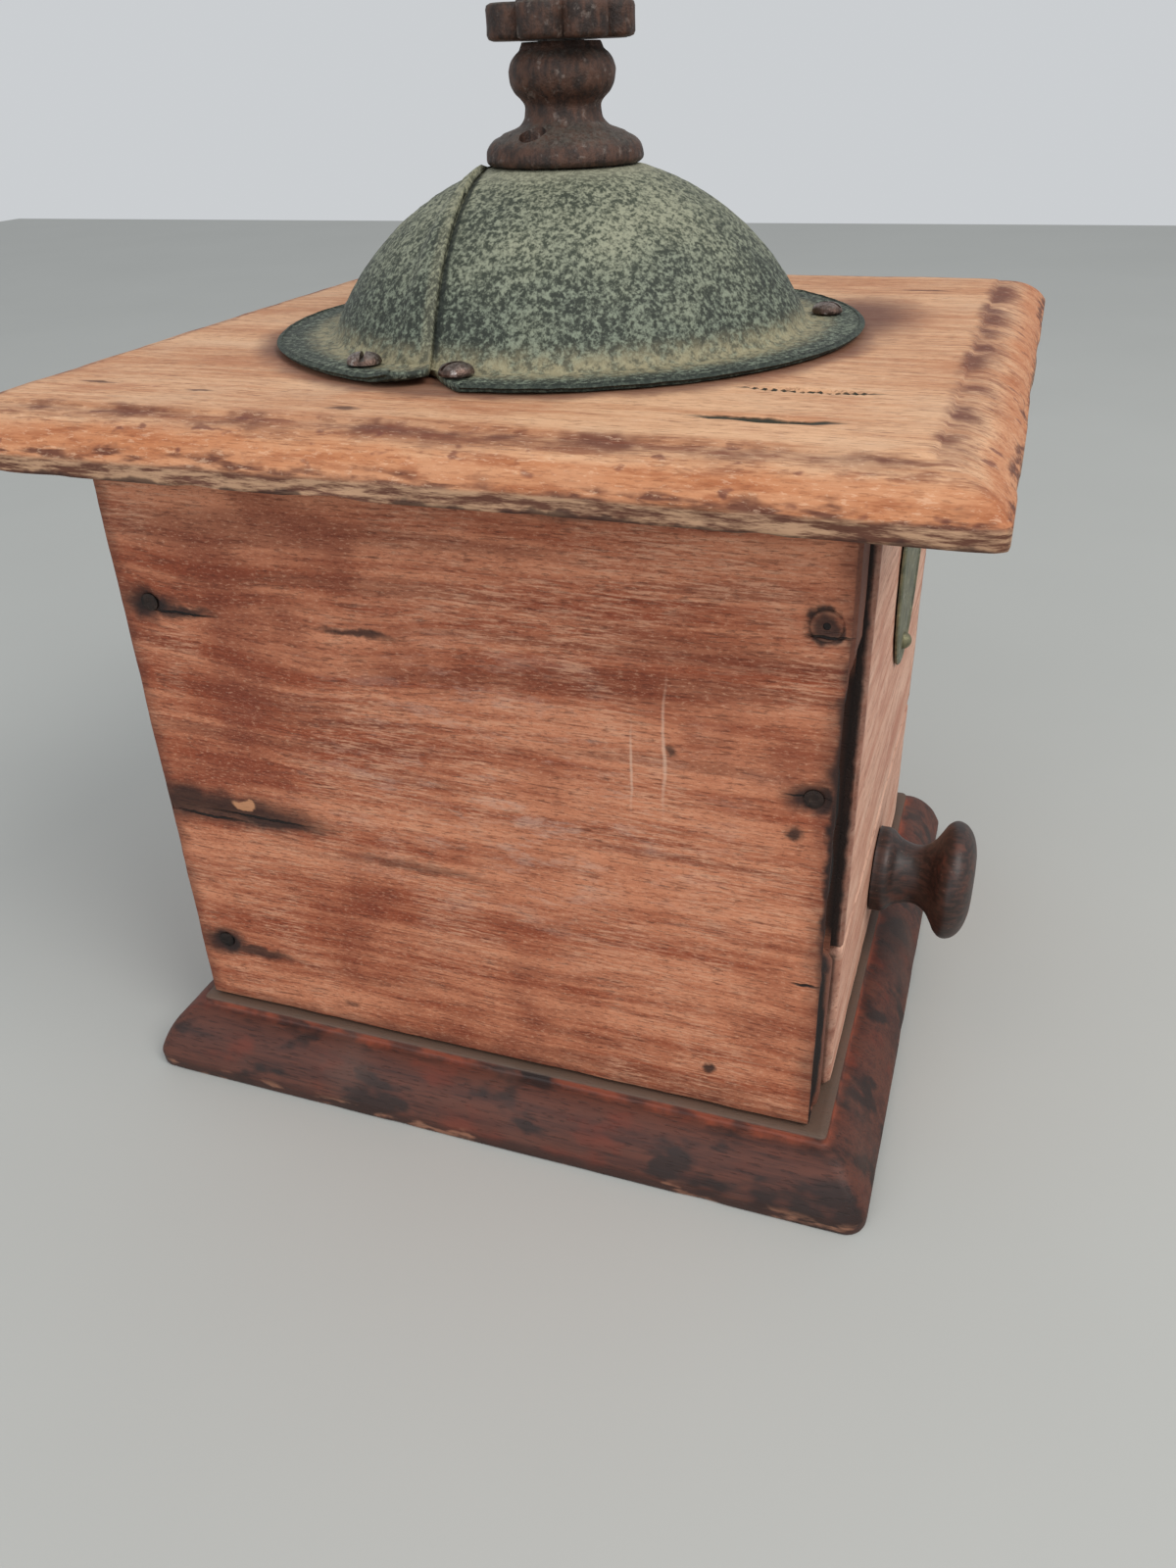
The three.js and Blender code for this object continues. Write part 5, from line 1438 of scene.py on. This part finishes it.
def hexagon(inset, corner=6.0):
    """A hexagon's edge, drawn inwards by an inset."""
    flat = corner * math.cos(math.pi / 6) - inset
    return lambda angle: flat / np.cos(angle % (math.pi / 3) - math.pi / 6)


def square(angle):
    """The edge of the square hole that sits on the spindle."""
    return 3.62 / np.maximum(np.abs(np.cos(angle)), np.abs(np.sin(angle)))


steps = [(6.6, 0.0), (lobes(1.0), 0.0), (lobes(0.25), 0.25), (lobes(0.0), 0.8), (lobes(0.05), 2.0)]
steps += [(lobes(0.05), 3.2), (lobes(0.0), 4.4), (lobes(0.2), 5.0), (lobes(0.8), 5.3)]
steps += [(lobes(1.8, 2.2), 5.32), (9.3, 5.25), (8.0, 5.3), (7.4, 5.6), (7.15, 6.2), (7.0, 6.9)]
steps += [(6.5, 7.3), (5.3, 7.3), (4.2, 7.3), (4.2, 1.3), (6.6, 1.3)]
rows = shaped_rows(steps)
rows[1:17] = widened(rows[1:17], 1 + 0.006 * bumps(rows[1:17], 2.2, 101))
mesh = outward(net(rows + hopper + np.array([0, 0, NUT_FOOT]), wrapped=True))
add_piece("lobed_nut", mesh, browned_iron, "adjuster", ["adjusting_nut"], sharp=55)
print("nut:", len(mesh[1]), "faces")

# %% [markdown]
# ## The crank
# The hub and the pad are rings about their own axes. The bar between them is a flat section carried along
# a curve, and it narrows from the hub to the pad. Sections placed by hand would bend less evenly.

# %% The crank
CRANK_REACH, PAD_FOOT = 108, 18.4
hub_foot = hopper + np.array([0, 0, 55.4])


def together(*meshes):
    """Several closed meshes as one."""
    points, faces = np.zeros((0, 3)), []
    for more, more_faces in (outward(mesh) for mesh in meshes):
        faces += [[k + len(points) for k in face] for face in more_faces]
        points = np.vstack([points, more])
    return points, faces


hub = shaped_rows([(square, 0.0), (7.9, 0.0), (8.4, 0.4), (8.5, 1.0), (8.5, 6.0), (8.3, 6.6), (7.7, 7.0),
                   (square, 7.0)])
pad = shaped_rows([(2.72, 0.0), (7.5, 0.0), (8.0, 0.5), (8.0, 3.7), (7.5, 4.2), (2.72, 4.2)])
pad += np.array([CRANK_REACH, 0, PAD_FOOT])
route = curve([(4.4, 1.4), (21.6, 2.0), (45.4, 8.5), (71.3, 16.0), (90.7, PAD_FOOT), (104.6, PAD_FOOT)], 1.6)
heading = np.gradient(route, axis=0)
heading /= np.linalg.norm(heading, axis=1, keepdims=True)
rows = []
for (x, z), (dx, dz), share in zip(route, heading, np.linspace(0, 1, len(route))):
    half = 6.5 - 1.9 * math.sin(math.pi * min(1, share * 1.1) * 0.5)
    section = [(half * 0.90, 0.0), (half, 0.6), (half, 3.6), (half * 0.90, 4.2)]
    section += [(-side, rise) for side, rise in section[::-1]]
    rows.append([(x - dz * rise, side, z + dx * rise) for side, rise in section])
rows = np.array(rows)
rows += 0.05 * bumps(rows, 3, 111)[..., None]
crank = together(net(hub, wrapped=True), net(pad, wrapped=True), net(rows, caps=(True, True)))
add_piece("crank_bar", (crank[0] + hub_foot, crank[1]), browned_iron,
          "spindle", ["crank_arm"])
print("crank:", len(route), "sections along the bar")

# %% [markdown]
# ## The cap nut
# Its rings change from a hexagon to circles for the dome, and one sweep makes them all.

# %% The cap nut above the hub
steps = [(0.4, 13.7), (3.1, 13.7), (3.1, 7.3), (hexagon(0.5), 7.3), (hexagon(0.1), 7.6), (hexagon(0.0), 8.2)]
steps += [(hexagon(0.0), 11.0), (hexagon(0.25), 11.6), (4.95, 11.9)]
steps += [(4.92 * math.cos(a), 11.9 + 3.7 * math.sin(a)) for a in np.radians(np.linspace(8, 88, 9))]
mesh = outward(net(shaped_rows(steps, 96) + hub_foot, caps=(True, True)))
add_piece("cap_nut_domed", mesh, dull_steel, "spindle", ["crank_cap_nut"], sharp=35)
print("cap nut:", len(mesh[1]), "faces")

# %% [markdown]
# ## The handle and its pin
# The handle turns freely on a pin with a riveted head at each end, so it is a ring with a bore all the
# way up, and a wider seat at the top for the upper head.

# %% The handle and its pin
handle_foot = hub_foot + np.array([CRANK_REACH, 0, 22.6])
shape = curve([(8.8, 0.5), (9.4, 2.5), (7.9, 6.5), (9.6, 11.5), (11.8, 16.0), (13.5, 21.5), (14.0, 25.8),
               (13.2, 31), (11.4, 34.4), (8.8, 36.9), (6.4, 38.0), (4.7, 38.0)], 0.6)
shape = np.vstack([[(2.6, 0.5)], shape, [(4.5, 37.7), (4.5, 34.6), (2.6, 34.6)]])
rows = turned_rows(shape, 100)
rows[1:-3] = widened(rows[1:-3], 1 + 0.006 * bumps(rows[1:-3], (5, 5, 7), 121))
add_piece("crank_handle", outward(net(rows + handle_foot, wrapped=True)), turned_wood,
          "handle", ["crank_knob"], sharp=50)
pin = [(0.3, -6.3), (2.2, -6.2), (3.2, -5.9), (3.8, -4.6), (2.4, -4.5), (2.4, 34.8), (3.9, 34.8), (4.0, 35.1)]
pin += [(3.7, 36.0), (3.0, 36.7), (1.8, 37.1), (0.3, 37.2)]
add_piece("handle_rivet", outward(net(turned_rows(pin, 40) + handle_foot, caps=(True, True))), dull_steel,
          "spindle", ["knob_pin"])
print("made", len(pieces_made), "pieces")

# %% [markdown]
# ## The plainer pieces inside
# The drawer's box, the bowl, the burrs and the spindle are hidden most of the time. Their CAD shapes are
# good enough, so they only get a finish and smooth shading with sharp corners.

# %% Finishes for the CAD pieces
finish_of = {
    "dust_board": inner_wood, "drawer_left": inner_wood, "drawer_right": inner_wood,
    "drawer_back": inner_wood, "drawer_bottom": inner_wood, "drawer_knob_screw": screw_iron,
    "crown_plate": cast_iron, "bean_bowl": cast_iron, "burr_ring": cast_iron, "lower_bridge": cast_iron,
    "inner_burr": cast_iron, "spindle": dull_steel, "burr_pin": dull_steel, "thrust_washer": dull_steel,
    "bowl_screw_1": screw_iron, "bowl_screw_2": screw_iron, "bowl_screw_3": screw_iron,
    "bridge_screw_1": screw_iron, "bridge_screw_2": screw_iron,
}
for name, material in finish_of.items():
    data = bpy.data.objects[name].data
    data.materials.clear()
    data.materials.append(material)
    data.polygons.foreach_set("use_smooth", [True] * len(data.polygons))
    data.set_sharp_from_angle(angle=math.radians(35))
print("finished", len(finish_of), "CAD pieces")

# %% [markdown]
# ## Floor and light
# A pale floor and one large soft lamp above and to the -Y side give the soft shadow at the foot of the
# box. A pale sky fills the shadows. The lamp is an area light, because its size sets how soft it is.


# %% Floor
def make_floor():
    """A pale, slightly mottled square, three metres wide, which is staging and not a part."""
    made, shader, at = start_material("pale_floor")
    tone = cloud(at, 140.0, 3.0)
    end_material(shader, blend(paint(184, 185, 181), paint(177, 178, 174), tone), 0.7)
    floor = bpy.data.objects.new("floor", bpy.data.meshes.new("floor"))
    corners = [(-1.5, -1.5, 0), (1.5, -1.5, 0), (1.5, 1.5, 0), (-1.5, 1.5, 0)]
    floor.data.from_pydata(corners, [], [(0, 1, 2, 3)])
    floor.data.materials.append(made)
    bpy.context.scene.collection.objects.link(floor)


make_floor()
print("floor made")


# %% [markdown]
# ## Lights
# The large lamp stands for a window, and a weaker, cooler one shines on the left wall from the -X side.
# Without the second lamp that wall would be too dark to show its grain.

# %% Lights
def soft_light(name, place, aim, size, watts, colour):
    """A round area light, in metres and watts, that points at a place."""
    lamp = bpy.data.lights.new(name, "AREA")
    lamp.shape = "DISK"
    lamp.size = size
    lamp.energy = watts
    lamp.color = colour
    made = bpy.data.objects.new(name, lamp)
    made.location = place
    made.rotation_euler = (Vector(aim) - Vector(place)).to_track_quat("-Z", "Y").to_euler()
    bpy.context.scene.collection.objects.link(made)


soft_light("window", (-0.35, -0.75, 0.95), (0, 0, 0.08), 0.7, 8.0, (1.0, 0.98, 0.95))
soft_light("fill", (-0.95, 0.25, 0.45), (0, 0, 0.08), 0.8, 3.4, (0.92, 0.96, 1.0))
sky = bpy.data.worlds.new("pale_sky")
sky.use_nodes = True
sky.node_tree.nodes["Background"].inputs["Color"].default_value = (0.88, 0.91, 0.94, 1.0)
sky.node_tree.nodes["Background"].inputs["Strength"].default_value = 0.68
bpy.context.scene.world = sky
bpy.context.scene.view_settings.view_transform = "Standard"
print("lights:", [lamp.name for lamp in bpy.data.lights])
